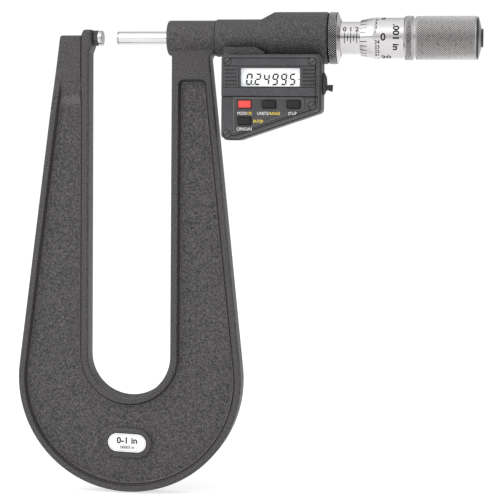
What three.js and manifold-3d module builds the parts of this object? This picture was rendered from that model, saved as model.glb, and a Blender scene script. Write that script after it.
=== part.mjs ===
// Digital outside micrometer with a deep throat. Millimetres, +Z up.
// Origin: centre of the anvil's measuring face. +X runs along the spindle axis,
// away from the anvil. The display faces -Y.
import * as THREE from 'three';
import { mergeVertices } from 'three/addons/utils/BufferGeometryUtils.js';
import Module from 'manifold-3d';

const wasm = await Module();
wasm.setup();

// ---------------------------------------------------------------- clearances
const GAP = 0.3;              // between fixed pieces that sit in one another
const SLIDE = 0.2;            // radial play of moving round pieces
const BUTT = 0.1;             // between pieces that butt end to end

// ---------------------------------------------------------------- throat and travel
const REST_OPEN = 6.35;       // spindle stands a quarter inch open
const TRAVEL = 25.4;          // closed to fully open
const THROAT_DEPTH = 153.0;   // spindle axis to the bottom of the throat
const THROAT_LEFT = 5.2;      // anvil face back to the left arm's inner wall
const THROAT_RIGHT = 30.5;    // anvil face to the right arm's inner wall

// ---------------------------------------------------------------- frame
const FRAME_T = 10.0;         // rim to rim thickness
const BOTTOM_WALL = 41.1;     // throat bottom to the outside of the bend
const OUTER_R = 48.5;         // outside radius of the bend
const ARM_TOP_LEFT_X = -18.0; // outer top corner of the left arm
const ARM_TOP_Z = 1.0;        // flat top of the left arm
const RIM_OUT = 2.65;         // outer rim width
const RIM_IN = 2.95;          // inner rim width
const POCKET_D = 2.4;         // depth of the web below the rims
const POCKET_RUN = 2.0;       // slope of the pocket wall, measured along the face
const POCKET_CORNER = 2.0;
const POCKET_TOP_LEFT = -20.5;
const POCKET_TOP_RIGHT = -19.6;
const PAD_STEP = 0.6;         // flat pad of the left arm below the ridge
const EDGE = 0.6;             // edge break of the casting
const RIDGE_W = 3.4;          // ridge from the inner wall to the pad
const LAND_L = 21.3;          // raised oval land round the name plate
const LAND_H = 12.9;
const LAND_SHIFT = -0.75;      // land's middle from the middle of the throat
const LAND_DROP = 19.9;       // throat bottom down to the middle of the land
const LAND_LOW = 0.5;         // land's face below the rims
const PLATE_L = 16.6;
const PLATE_H = 7.8;
const PLATE_T = 0.6;
const PLATE_SINK = 0.2;       // plate's face below the land
const PLATE_TILT = -2.0;      // degrees

// ---------------------------------------------------------------- anvil
const ANVIL_R = 3.15;
const ANVIL_HEAD = 1.9;       // head and hard tip together
const TIP_T = 0.8;
const ANVIL_SHANK_R = 2.2;
const COLLAR_R = 3.28;
const COLLAR_L = 2.1;
const BOSS_R = 3.5;           // boss height above the axis
const BOSS_L = 4.4;           // boss length along the axis

// ---------------------------------------------------------------- spindle and hub
const SPINDLE_R = 2.75;
const THREAD_R = 3.0;
const HUB_R = 7.4;
const HUB_X0 = 28.45;
const HUB_L = 20.45;
const BUSH_WALL = 1.2;
const NECK_OUT = 2.2;         // hub past the right arm's outer edge

// ---------------------------------------------------------------- head barrel
const SMALL_R = 7.85;
const SMALL_L = 19.0;
const CONE_L = 5.7;
const LARGE_R = 10.87;
const LARGE_L = 22.7;
const BARREL_WALL = 1.8;
const BLOCK_L = 17.2;         // saddle block along the barrel
const BLOCK_FRONT = 10.5;     // saddle block ahead of the axis
const BLOCK_TOP = -4.3;
const BLOCK_SLANT = 5.2;

// ---------------------------------------------------------------- lock ring and sleeve
const RING_L = 5.0;
const RING_KNURL_L = 3.8;
const SLEEVE_R = 6.8;
const SLEEVE_WALL = 0.9;
const ZERO_X = 103.5;         // thimble edge when the faces meet
const COLLET_L = 3.0;
const NUT_L = 7.0;
const ADJUST_L = 2.4;
const ENCODER_R = 8.5;
const ENCODER_T = 2.0;

// ---------------------------------------------------------------- thimble
const THIMBLE_R = 8.45;
const THIMBLE_EDGE_R = 7.35;
const BEVEL_L = 5.25;
const THIMBLE_L = 18.15;      // edge to the knurled band
const BAND_R = 9.3;
const BAND_L = 4.05;
const FRICTION_R = 9.2;
const FRICTION_L = 25.1;
const FRICTION_WALL = 1.1;
const THIMBLE_HUB_L = 6.0;
const CAP_EDGE_L = 0.6;
const CAP_CONE_L = 1.25;
const CAP_TOP_R = 4.2;
const BUTTON_R = 3.85;
const BUTTON_OUT = 0.85;
const SPRING_WIRE_R = 0.5;
const SPRING_TURNS = 3;
const SPRING_L = 7.0;
const END_SCREW_R = 1.6;

// ---------------------------------------------------------------- display housing
const SHELL_X0 = 53.9;
const SHELL_X1 = 94.75;
const SHELL_Z1 = -7.4;        // top
const SHELL_Z0 = -43.0;       // bottom
const SHELL_RIGHT_Z = -31.2;  // where the slanted edge meets the right side
const SHELL_SLANT_X = 60.3;   // where it meets the bottom
const COVER_FRONT = -19.0;
const PARTING = -13.0;
const SHELL_BACK = 1.0;
const COVER_INSET = 0.75;     // cover inside the shell's outline on the open sides
const COVER_BEVEL = 0.9;
const WALL = 1.6;
const FRONT_WALL = 2.0;
const STEP_Z = -24.85;        // lower edge of the raised upper section
const STEP_D = 0.6;
const WINDOW_X0 = 61.85;
const WINDOW_X1 = 86.4;
const WINDOW_Z1 = -13.4;
const WINDOW_Z0 = -20.9;
const WINDOW_T = 0.9;
const PANEL_X0 = 58.7;
const PANEL_X1 = 88.3;
const PANEL_T = 0.25;
const SCREW_HEAD_R = 1.45;
const SCREW_R = 0.8;
const SCREW_HEAD_T = 1.2;
const SCREW_L = 9.0;
const POST_R = 2.3;
const KEY_W = 5.15;
const KEY_H = 2.9;
const KEY_OUT = 0.85;
const KEY_TRAVEL = 0.5;
const KEY_FLANGE = 0.6;
const BOARD_T = 1.2;
const BATTERY_R = 10.0;
const BATTERY_T = 3.2;
const BATTERY_X = 68.4;
const BATTERY_Z = -24.6;
const WELL_WALL = 1.4;
const PORT_Y = -6.6;
const PORT_Z = -19.3;
const PORT_W = 6.6;
const PORT_H = 3.2;
const PLUG_R = 4.75;
const SIDES = 44;             // facets round a turned piece

// ---------------------------------------------------------------- derived sizes
const HALF_T = FRAME_T / 2;
const THROAT_CX = (THROAT_RIGHT - THROAT_LEFT) / 2;
const THROAT_R = (THROAT_RIGHT + THROAT_LEFT) / 2;
const THROAT_CZ = -THROAT_DEPTH + THROAT_R;
const OUTER_CZ = -THROAT_DEPTH - BOTTOM_WALL + OUTER_R;
const LAND_X = THROAT_CX + LAND_SHIFT;
const LAND_Z = -THROAT_DEPTH - LAND_DROP;
const RIDGE_X = -THROAT_LEFT - RIDGE_W;
const BOSS_X1 = -ANVIL_HEAD - COLLAR_L - BUTT;
const BOSS_X0 = BOSS_X1 - BOSS_L;
const HUB_X1 = HUB_X0 + HUB_L;
const ARM_RIGHT_X = HUB_X1 - NECK_OUT;
const BARREL_X0 = HUB_X1 + BUTT;
const CONE_X0 = BARREL_X0 + SMALL_L;
const CONE_X1 = CONE_X0 + CONE_L;
const BARREL_X1 = CONE_X1 + LARGE_L;
const CHAMBER_R = LARGE_R - BARREL_WALL;
const CHAMBER_X0 = CONE_X1 + 1.0;
const RING_X0 = BARREL_X1 + BUTT + 0.1;
const RING_X1 = RING_X0 + RING_L;
const SLEEVE_X0 = BARREL_X1 - 5.2;
const SLEEVE_X1 = ZERO_X + TRAVEL + 2.0;
const SLEEVE_IN = SLEEVE_R - SLEEVE_WALL;
const THIMBLE_X0 = ZERO_X + REST_OPEN;
const BAND_X0 = THIMBLE_X0 + THIMBLE_L;
const BAND_X1 = BAND_X0 + BAND_L;
const FRICTION_X0 = BAND_X1 + 0.55;
const FRICTION_X1 = FRICTION_X0 + FRICTION_L;
const NUT_X0 = SLEEVE_X1 - NUT_L;
const ADJUST_X1 = SLEEVE_X1 + BUTT + ADJUST_L;
const THIMBLE_BORE_R = SLEEVE_R + GAP;
const THIMBLE_BORE_X1 = ADJUST_X1 + REST_OPEN + 0.8;
const THIMBLE_END = THIMBLE_BORE_X1 + THIMBLE_HUB_L;
const SPIGOT_R = FRICTION_R - FRICTION_WALL - SLIDE;
const COVER_STEP_FRONT = COVER_FRONT + STEP_D;
const WELL_FLOOR = SHELL_BACK - 1.7 - BATTERY_T - 0.7;

// ================================================================ tools
function bare(geometry) {
  const g = geometry.clone();
  for (const name of ['normal', 'uv']) {
    if (g.getAttribute(name)) g.deleteAttribute(name);
  }
  return mergeVertices(g, 1e-4);
}

function solid(geometry) {
  const g = bare(geometry);
  const vertProperties = Float32Array.from(g.getAttribute('position').array);
  const triVerts = Uint32Array.from(g.getIndex().array);
  const make = (tris) => new wasm.Manifold(new wasm.Mesh({ numProp: 3, vertProperties, triVerts: tris }));
  const body = make(triVerts);
  if (body.volume() > 0) return body;
  const flipped = new Uint32Array(triVerts.length);
  for (let i = 0; i < triVerts.length; i += 3) {
    flipped[i] = triVerts[i];
    flipped[i + 1] = triVerts[i + 2];
    flipped[i + 2] = triVerts[i + 1];
  }
  return make(flipped);
}

function toGeometry(body) {
  const mesh = body.getMesh();
  const g = new THREE.BufferGeometry();
  const count = mesh.vertProperties.length / mesh.numProp;
  const position = new Float32Array(count * 3);
  for (let i = 0; i < count; i += 1) {
    for (let k = 0; k < 3; k += 1) position[3 * i + k] = mesh.vertProperties[mesh.numProp * i + k];
  }
  g.setAttribute('position', new THREE.BufferAttribute(position, 3));
  g.setIndex(new THREE.BufferAttribute(Uint32Array.from(mesh.triVerts), 1));
  g.computeVertexNormals();
  return g;
}

// closed outline with rounded corners; each point is [x, z] or [x, z, radius]
function rounded(points) {
  const out = [];
  const n = points.length;
  for (let i = 0; i < n; i += 1) {
    const [x, z, r = 0] = points[i];
    const here = new THREE.Vector2(x, z);
    if (r <= 0) {
      out.push(here);
      continue;
    }
    const before = new THREE.Vector2(...points[(i + n - 1) % n].slice(0, 2)).sub(here);
    const after = new THREE.Vector2(...points[(i + 1) % n].slice(0, 2)).sub(here);
    const longest = 0.49 * Math.min(before.length(), after.length());
    before.normalize();
    after.normalize();
    const half = Math.acos(THREE.MathUtils.clamp(before.dot(after), -1, 1)) / 2;
    const reach = Math.min(r / Math.tan(half), longest);
    const radius = reach * Math.tan(half);
    const centre = before.clone().add(after).normalize().multiplyScalar(radius / Math.sin(half)).add(here);
    const from = before.multiplyScalar(reach).add(here).sub(centre);
    const to = after.multiplyScalar(reach).add(here).sub(centre);
    const turn = Math.atan2(from.cross(to), from.dot(to));
    const steps = Math.max(2, Math.ceil(Math.abs(turn) / (Math.PI / 10)));
    for (let k = 0; k <= steps; k += 1) {
      const a = (turn * k) / steps;
      const c = Math.cos(a);
      const s = Math.sin(a);
      out.push(new THREE.Vector2(from.x * c - from.y * s, from.x * s + from.y * c).add(centre));
    }
  }
  return out.filter((p, i) => p.distanceTo(out[(i + out.length - 1) % out.length]) > 1e-3);
}

function arc(cx, cz, r, a0, a1, steps) {
  const curve = new THREE.EllipseCurve(cx, cz, r, r, a0, a1, a1 < a0, 0);
  return curve.getPoints(steps).map((p) => [p.x, p.y]);
}

function capsule(cx, cz, length, height, steps = 12) {
  const r = height / 2;
  const reach = (length - height) / 2;
  return [
    ...arc(cx + reach, cz, r, -Math.PI / 2, Math.PI / 2, steps),
    ...arc(cx - reach, cz, r, Math.PI / 2, 1.5 * Math.PI, steps),
  ].map(([x, z]) => new THREE.Vector2(x, z));
}

function rect(x0, x1, z0, z1, r = 0) {
  return rounded([[x0, z0, r], [x1, z0, r], [x1, z1, r], [x0, z1, r]]);
}

// outline in X and Z, drawn out from y0 back to y1
function slab(outline, y0, y1) {
  const g = new THREE.ExtrudeGeometry(new THREE.Shape(outline), { depth: y1 - y0, bevelEnabled: false });
  g.rotateX(Math.PI / 2);
  g.translate(0, y1, 0);
  return solid(g);
}

// the same with the edges at both ends broken by b, inside the outline
function brokenSlab(outline, y0, y1, b, segments = 1) {
  const g = new THREE.ExtrudeGeometry(new THREE.Shape(outline), {
    depth: y1 - y0 - 2 * b,
    bevelEnabled: true,
    bevelThickness: b,
    bevelSize: b,
    bevelOffset: -b,
    bevelSegments: segments,
  });
  g.rotateX(Math.PI / 2);
  g.translate(0, y1 - b, 0);
  return solid(g);
}

// pocket tool: outline is the floor, the walls lean out by run over the depth
function pocketTool(floor, yFace, depth, run, side) {
  const over = 2;
  const g = new THREE.ExtrudeGeometry(new THREE.Shape(floor), {
    depth: over,
    bevelEnabled: true,
    bevelThickness: depth,
    bevelSize: run,
    bevelSegments: 1,
  });
  g.rotateX(Math.PI / 2);
  g.translate(0, side < 0 ? yFace : yFace + over, 0);
  return solid(g);
}

// turned piece round the X axis; the profile is a list of [x, r]
function turned(profile, sides = SIDES) {
  const closed = profile[0][1] > 1e-9;
  const points = profile.map(([x, r]) => new THREE.Vector2(r, x));
  if (closed) points.push(points[0].clone());
  const g = new THREE.LatheGeometry(points, sides);
  g.rotateZ(-Math.PI / 2);
  return solid(g);
}

function rod(x0, x1, r, sides = SIDES) {
  return turned([[x0, 0], [x0, r], [x1, r], [x1, 0]], sides);
}

function tube(x0, x1, rIn, rOut, sides = SIDES) {
  return turned([[x0, rIn], [x1, rIn], [x1, rOut], [x0, rOut]], sides);
}

function box(x0, x1, y0, y1, z0, z1) {
  const g = new THREE.BoxGeometry(x1 - x0, y1 - y0, z1 - z0);
  g.translate((x0 + x1) / 2, (y0 + y1) / 2, (z0 + z1) / 2);
  return solid(g);
}

// round peg along Y
function peg(x, z, y0, y1, r, sides = 24) {
  const g = new THREE.CylinderGeometry(r, r, y1 - y0, sides);
  g.translate(x, (y0 + y1) / 2, z);
  return solid(g);
}

// ================================================================ frame
// tangent point on a circle, seen from a point outside it
function tangent(px, pz, cx, cz, r, side) {
  const dx = px - cx;
  const dz = pz - cz;
  const away = Math.hypot(dx, dz);
  const a = Math.atan2(dz, dx) + side * Math.acos(r / away);
  return a;
}

const LEFT_TANGENT = tangent(ARM_TOP_LEFT_X, ARM_TOP_Z, THROAT_CX, OUTER_CZ, OUTER_R, 1);
const ARM_RIGHT_Z = -HUB_R - 1.2;
const RIGHT_TANGENT = tangent(ARM_RIGHT_X, ARM_RIGHT_Z, THROAT_CX, OUTER_CZ, OUTER_R, -1);

function frameOutline() {
  const bend = arc(THROAT_CX, OUTER_CZ, OUTER_R, LEFT_TANGENT, 2 * Math.PI + RIGHT_TANGENT, 40);
  const throat = arc(THROAT_CX, THROAT_CZ, THROAT_R, 0, -Math.PI, 26);
  return rounded([
    [ARM_TOP_LEFT_X, ARM_TOP_Z, 1.2],
    ...bend,
    [ARM_RIGHT_X, ARM_RIGHT_Z, 1.5],
    [HUB_X1 - 0.3, -HUB_R + 1.6],
    [HUB_X1 - 0.3, HUB_R * 0.4],
    [HUB_X0 + 0.6, HUB_R * 0.4],
    [HUB_X0 + 0.6, -HUB_R + 1.9],
    [THROAT_RIGHT, -HUB_R - 0.6, 1.2],
    ...throat,
    [-THROAT_LEFT, -BOSS_R - 3.0, 2.0],
    [BOSS_X1, -BOSS_R],
    [BOSS_X1, BOSS_R - 0.1],
    [BOSS_X0, BOSS_R - 0.1, 1.0],
    [BOSS_X0 - 0.8, ARM_TOP_Z, 0.6],
  ]);
}

// outline of the web floor, POCKET_RUN inside the top of the pocket wall
function webOutline() {
  const outer = OUTER_R - RIM_OUT - POCKET_RUN;
  const inner = THROAT_R + RIM_IN + POCKET_RUN;
  const left = (z) => {
    const t = LEFT_TANGENT;
    const x0 = THROAT_CX + outer * Math.cos(t);
    const z0 = OUTER_CZ + outer * Math.sin(t);
    return x0 + (z - z0) * -Math.tan(t);
  };
  const right = (z) => {
    const t = RIGHT_TANGENT;
    const x0 = THROAT_CX + outer * Math.cos(t);
    const z0 = OUTER_CZ + outer * Math.sin(t);
    return x0 + (z - z0) * -Math.tan(t);
  };
  const topL = POCKET_TOP_LEFT;
  const topR = POCKET_TOP_RIGHT;
  return rounded([
    [left(topL), topL, POCKET_CORNER],
    ...arc(THROAT_CX, OUTER_CZ, outer, LEFT_TANGENT, 2 * Math.PI + RIGHT_TANGENT, 40),
    [right(topR), topR, POCKET_CORNER],
    [THROAT_CX + inner, topR, POCKET_CORNER],
    ...arc(THROAT_CX, THROAT_CZ, inner, 0, -Math.PI, 26),
    [THROAT_CX - inner, topL, POCKET_CORNER],
  ]);
}

function tiltAboutPlate(body) {
  return body.translate([-LAND_X, 0, -LAND_Z]).rotate([0, -PLATE_TILT, 0]).translate([LAND_X, 0, LAND_Z]);
}

function makeFrame() {
  let body = brokenSlab(frameOutline(), -HALF_T, HALF_T, EDGE);
  const hub = turned([[HUB_X0, 0], [HUB_X0, HUB_R - 0.8], [HUB_X0 + 0.8, HUB_R], [HUB_X1, HUB_R], [HUB_X1, 0]]);
  body = body.add(hub);
  const web = webOutline();
  body = body.subtract(pocketTool(web, -HALF_T, POCKET_D, POCKET_RUN, -1));
  body = body.subtract(pocketTool(web, HALF_T, POCKET_D, POCKET_RUN, 1));
  const padLow = POCKET_TOP_LEFT + POCKET_RUN + 0.2;
  const padX = ARM_TOP_LEFT_X - 20;
  body = body.subtract(box(padX, RIDGE_X, -HALF_T - 1, -HALF_T + PAD_STEP, padLow, BOSS_R + 2));
  body = body.subtract(box(padX, RIDGE_X, HALF_T - PAD_STEP, HALF_T + 1, padLow, BOSS_R + 2));
  const land = slab(capsule(LAND_X, LAND_Z, LAND_L, LAND_H), -HALF_T + LAND_LOW, 0);
  body = body.add(tiltAboutPlate(land));
  const seatFloor = -HALF_T + LAND_LOW + PLATE_SINK + PLATE_T + 0.1;
  const seat = slab(capsule(LAND_X, LAND_Z, PLATE_L + 2 * GAP, PLATE_H + 2 * GAP), -HALF_T - 1, seatFloor);
  body = body.subtract(tiltAboutPlate(seat));
  body = body.subtract(rod(HUB_X0 - 1, HUB_X1 + 1, SPINDLE_R + SLIDE + BUSH_WALL + GAP, 36));
  body = body.subtract(rod(BOSS_X0 - 0.4, BOSS_X1 + 1, ANVIL_SHANK_R + GAP, 28));
  return body;
}

function makeNamePlate() {
  const front = -HALF_T + LAND_LOW + PLATE_SINK;
  return tiltAboutPlate(slab(capsule(LAND_X, LAND_Z, PLATE_L, PLATE_H), front, front + PLATE_T));
}

// ================================================================ anvil
function makeAnvilCollar() {
  return tube(BOSS_X1 + BUTT / 2, -ANVIL_HEAD - BUTT / 2, ANVIL_SHANK_R + GAP, COLLAR_R, 36);
}

function makeAnvil() {
  return turned([
    [BOSS_X0 - 0.1, 0],
    [BOSS_X0 - 0.1, ANVIL_SHANK_R],
    [-ANVIL_HEAD, ANVIL_SHANK_R],
    [-ANVIL_HEAD, ANVIL_R - 0.1],
    [-ANVIL_HEAD + 0.2, ANVIL_R],
    [-TIP_T - 0.03, ANVIL_R],
    [-TIP_T - 0.03, 0],
  ], 36);
}

function makeAnvilTip() {
  return turned([[-TIP_T, 0], [-TIP_T, ANVIL_R], [-0.25, ANVIL_R], [0, ANVIL_R - 0.25], [0, 0]], 36);
}

// ================================================================ spindle guide
function makeFrontBushing() {
  return tube(HUB_X0, HUB_X1, SPINDLE_R + SLIDE, SPINDLE_R + SLIDE + BUSH_WALL, 36);
}

// ================================================================ head barrel
function blockOutline() {
  const x0 = SHELL_X0 - 0.4;
  const low = SHELL_Z1 + GAP;
  return rounded([
    [x0, low],
    [x0 + BLOCK_L + 1.2, low],
    [x0 + BLOCK_L - BLOCK_SLANT + 1.2, BLOCK_TOP],
    [x0, BLOCK_TOP],
  ]);
}

function makeHeadBarrel() {
  let body = turned([
    [BARREL_X0, 0],
    [BARREL_X0, SMALL_R - 0.3],
    [BARREL_X0 + 0.3, SMALL_R],
    [CONE_X0, SMALL_R],
    [CONE_X1, LARGE_R],
    [BARREL_X1 - 0.5, LARGE_R],
    [BARREL_X1, LARGE_R - 0.5],
    [BARREL_X1, 0],
  ]);
  body = body.add(slab(blockOutline(), -BLOCK_FRONT, SMALL_R * 0.6));
  const passage = SPINDLE_R + SLIDE + 0.6;
  body = body.subtract(rod(BARREL_X0 - 1, BARREL_X1 + 1, passage, 36));
  body = body.subtract(rod(CHAMBER_X0, BARREL_X1 + 1, CHAMBER_R));
  return body;
}

function makeEncoderStator() {
  const x0 = CHAMBER_X0 + 0.4;
  return tube(x0, x0 + ENCODER_T, SPINDLE_R + 1.2, CHAMBER_R - GAP, 36);
}

function makeEncoderRotor() {
  const x0 = CHAMBER_X0 + 0.4 + ENCODER_T + 0.6;
  return turned([
    [x0, SPINDLE_R + SLIDE],
    [x0 + ENCODER_T + 4, SPINDLE_R + SLIDE],
    [x0 + ENCODER_T + 4, SPINDLE_R + SLIDE + 1.4],
    [x0 + ENCODER_T, SPINDLE_R + SLIDE + 1.4],
    [x0 + ENCODER_T, ENCODER_R],
    [x0, ENCODER_R],
  ], 36);
}

// ================================================================ sleeve, lock ring, nuts
function makeSleeve() {
  return turned([
    [SLEEVE_X0, SLEEVE_IN],
    [SLEEVE_X1, SLEEVE_IN],
    [SLEEVE_X1, SLEEVE_R],
    [BARREL_X1 - 0.1, SLEEVE_R],
    [BARREL_X1 - 0.1, CHAMBER_R - GAP],
    [SLEEVE_X0, CHAMBER_R - GAP],
  ]);
}

function makeLockRing() {
  const bore = SLEEVE_R + SLIDE;
  return turned([
    [RING_X0, bore],
    [RING_X1, bore],
    [RING_X1, bore + 0.9],
    [RING_X1 - 0.35, LARGE_R - 1.9],
    [RING_X0 + RING_KNURL_L, LARGE_R - 0.15],
    [RING_X0 + RING_KNURL_L - 0.3, LARGE_R],
    [RING_X0 + 0.5, LARGE_R],
    [RING_X0, LARGE_R - 0.5],
  ]);
}

function makeLockCollet() {
  const x1 = BARREL_X1 - 1.1;
  return tube(x1 - COLLET_L, x1, SPINDLE_R + SLIDE, SLEEVE_IN - GAP, 36);
}

function makeSpindleNut() {
  return tube(NUT_X0, SLEEVE_X1, THREAD_R + SLIDE, SLEEVE_IN - GAP, 36);
}

function makeAdjustingNut() {
  return tube(SLEEVE_X1 + BUTT, ADJUST_X1, THREAD_R + SLIDE, SLEEVE_IN + 0.4, 12);
}

// ================================================================ spindle and thimble
function makeSpindle() {
  const thread0 = NUT_X0 - (TRAVEL - REST_OPEN) + 0.5;
  const thread1 = ADJUST_X1 + REST_OPEN + 0.4;
  return turned([
    [REST_OPEN + TIP_T + 0.03, 0],
    [REST_OPEN + TIP_T + 0.03, SPINDLE_R],
    [thread0, SPINDLE_R],
    [thread0 + 0.3, THREAD_R],
    [thread1, THREAD_R],
    [thread1, SPINDLE_R - 0.25],
    [THIMBLE_END - 0.6, SPINDLE_R - 0.25],
    [THIMBLE_END - 0.6, 0],
  ], 36);
}

function makeSpindleTip() {
  return turned([
    [REST_OPEN, 0],
    [REST_OPEN, SPINDLE_R - 0.2],
    [REST_OPEN + 0.2, SPINDLE_R],
    [REST_OPEN + TIP_T, SPINDLE_R],
    [REST_OPEN + TIP_T, 0],
  ], 36);
}

function makeThimble() {
  return turned([
    [THIMBLE_X0, THIMBLE_BORE_R],
    [THIMBLE_BORE_X1, THIMBLE_BORE_R],
    [THIMBLE_BORE_X1, SPINDLE_R + 0.05],
    [THIMBLE_END, SPINDLE_R + 0.05],
    [THIMBLE_END, SPIGOT_R],
    [BAND_X1, SPIGOT_R],
    [BAND_X1, BAND_R - 0.5],
    [BAND_X1 - 0.5, BAND_R],
    [BAND_X0 + 0.5, BAND_R],
    [BAND_X0, BAND_R - 0.5],
    [BAND_X0, THIMBLE_R],
    [THIMBLE_X0 + BEVEL_L, THIMBLE_R],
    [THIMBLE_X0, THIMBLE_EDGE_R],
  ]);
}

function makeFrictionThimble() {
  const bore = FRICTION_R - FRICTION_WALL;
  return turned([
    [FRICTION_X0, bore],
    [FRICTION_X1, bore],
    [FRICTION_X1, FRICTION_R - 0.4],
    [FRICTION_X1 - 0.4, FRICTION_R],
    [FRICTION_X0 + 0.5, FRICTION_R],
    [FRICTION_X0, FRICTION_R - 0.5],
  ]);
}

class Coil extends THREE.Curve {
  constructor(x0, length, r, turns) {
    super();
    this.x0 = x0;
    this.length = length;
    this.r = r;
    this.turns = turns;
  }

  getPoint(t, target = new THREE.Vector3()) {
    const a = 2 * Math.PI * this.turns * t;
    return target.set(this.x0 + this.length * t, this.r * Math.cos(a), this.r * Math.sin(a));
  }
}

function makeFrictionSpring() {
  const x0 = THIMBLE_END + SPRING_WIRE_R + 0.25;
  const coil = new Coil(x0, SPRING_L, SPIGOT_R - 1.6, SPRING_TURNS);
  const section = new THREE.Shape();
  section.absarc(0, 0, SPRING_WIRE_R, 0, 2 * Math.PI, false);
  const g = new THREE.ExtrudeGeometry(section, {
    steps: SPRING_TURNS * 12,
    curveSegments: 3,
    bevelEnabled: false,
    extrudePath: coil,
  });
  return solid(g);
}

function makeEndScrew() {
  const head = FRICTION_X1 - 2.6;
  return turned([
    [THIMBLE_END - 0.4, 0],
    [THIMBLE_END - 0.4, END_SCREW_R],
    [head, END_SCREW_R],
    [head, END_SCREW_R + 1.6],
    [head + 1.4, END_SCREW_R + 1.6],
    [head + 1.4, 0],
  ], 28);
}

function makeEndCap() {
  const plug = FRICTION_R - FRICTION_WALL - GAP;
  const bore = BUTTON_R + GAP;
  const edge = FRICTION_X1 + BUTT;
  const tip = edge + CAP_EDGE_L + CAP_CONE_L;
  return turned([
    [FRICTION_X1 - 0.9, bore],
    [tip, bore],
    [tip, CAP_TOP_R + 0.1],
    [edge + CAP_EDGE_L, FRICTION_R - 0.25],
    [edge, FRICTION_R - 0.25],
    [edge, plug],
    [FRICTION_X1 - 0.9, plug],
  ]);
}

function makeEndButton() {
  const end = FRICTION_X1 + BUTT + CAP_EDGE_L + CAP_CONE_L + BUTTON_OUT;
  return turned([
    [FRICTION_X1 - 0.9, 0],
    [FRICTION_X1 - 0.9, BUTTON_R],
    [end - 0.3, BUTTON_R],
    [end, BUTTON_R - 0.3],
    [end, 0],
  ], 36);
}

// ================================================================ display housing
// outline of the housing, drawn in by inset on every side
function housingOutline(inset, corner) {
  const dx = SHELL_X1 - SHELL_SLANT_X;
  const dz = SHELL_RIGHT_Z - SHELL_Z0;
  const slope = dz / dx;
  const lift = inset * Math.hypot(1, slope);
  const line = (x) => SHELL_Z0 + (x - SHELL_SLANT_X) * slope + lift;
  const low = SHELL_Z0 + inset;
  const meet = SHELL_SLANT_X + (low - lift - SHELL_Z0) / slope;
  return rounded([
    [SHELL_X0 + inset, low, corner],
    [meet, low, corner],
    [SHELL_X1 - inset, line(SHELL_X1 - inset), corner],
    [SHELL_X1 - inset, SHELL_Z1 - inset, corner],
    [SHELL_X0 + inset, SHELL_Z1 - inset, corner],
  ]);
}

const SCREW_SPOTS = [
  [SHELL_X0 + 2.65, SHELL_Z1 - 3.35],
  [SHELL_X1 - 3.1, SHELL_Z1 - 3.35],
  [SHELL_X1 - 3.2, SHELL_RIGHT_Z + 2.5],
  [SHELL_X0 + 2.5, SHELL_Z0 + 2.6],
];

const KEY_SPOTS = {
  button_shift: [PANEL_X0 + 5.0, STEP_Z - 3.35],
  button_units: [PANEL_X0 + 15.15, STEP_Z - 3.35],
  button_hold: [PANEL_X0 + 25.25, STEP_Z - 3.35],
  button_zero: [PANEL_X0 + 5.0, STEP_Z - 10.25],
};

function keyRect([x, z], grow) {
  return rect(x - KEY_W / 2 - grow, x + KEY_W / 2 + grow, z - KEY_H / 2 - grow, z + KEY_H / 2 + grow);
}

function makeFrontCover() {
  const back = PARTING - 0.05;
  const keep = box(SHELL_X0 - 5, SHELL_X1 + 5, COVER_FRONT - 5, back, SHELL_Z0 - 5, SHELL_Z1 + 5);
  let body = brokenSlab(housingOutline(COVER_INSET, 1.6), COVER_FRONT, back + 3, COVER_BEVEL).intersect(keep);
  // lower section stands back
  body = body.subtract(box(SHELL_X0 - 5, SHELL_X1 + 5, COVER_FRONT - 1, COVER_STEP_FRONT, SHELL_Z0 - 5, STEP_Z));
  // inside
  const inside = slab(housingOutline(COVER_INSET + WALL, 0.8), COVER_FRONT + FRONT_WALL + STEP_D, back + 1);
  let hollow = inside;
  for (const [x, z] of SCREW_SPOTS) hollow = hollow.subtract(peg(x, z, COVER_FRONT, back + 2, POST_R));
  body = body.subtract(hollow);
  // window
  body = body.subtract(slab(rect(WINDOW_X0, WINDOW_X1, WINDOW_Z0, WINDOW_Z1), COVER_FRONT - 1, PARTING));
  for (const spot of Object.values(KEY_SPOTS)) {
    body = body.subtract(slab(keyRect(spot, GAP), COVER_FRONT - 1, PARTING));
  }
  for (const [x, z] of SCREW_SPOTS) {
    body = body.subtract(peg(x, z, COVER_FRONT - 1, COVER_STEP_FRONT + SCREW_HEAD_T + 0.3, SCREW_HEAD_R + GAP));
    body = body.subtract(peg(x, z, COVER_FRONT - 1, PARTING + 1, SCREW_R + GAP));
  }
  body = body.subtract(grille(SHELL_X0 + 1.75, WINDOW_X0 - 1.5));
  body = body.subtract(grille(WINDOW_X1 + 1.3, SHELL_X1 - 2.1));
  return body;
}

// five grooves beside the window
function grille(x0, x1) {
  const pitch = (WINDOW_Z1 - WINDOW_Z0 - 1.5) / 4;
  let cut = null;
  for (let i = 0; i < 5; i += 1) {
    const z = WINDOW_Z1 - 0.75 - i * pitch;
    const groove = box(x0, x1, COVER_FRONT - 1, COVER_FRONT + 0.5, z - 0.3, z + 0.3);
    cut = cut ? cut.add(groove) : groove;
  }
  return cut;
}

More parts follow.
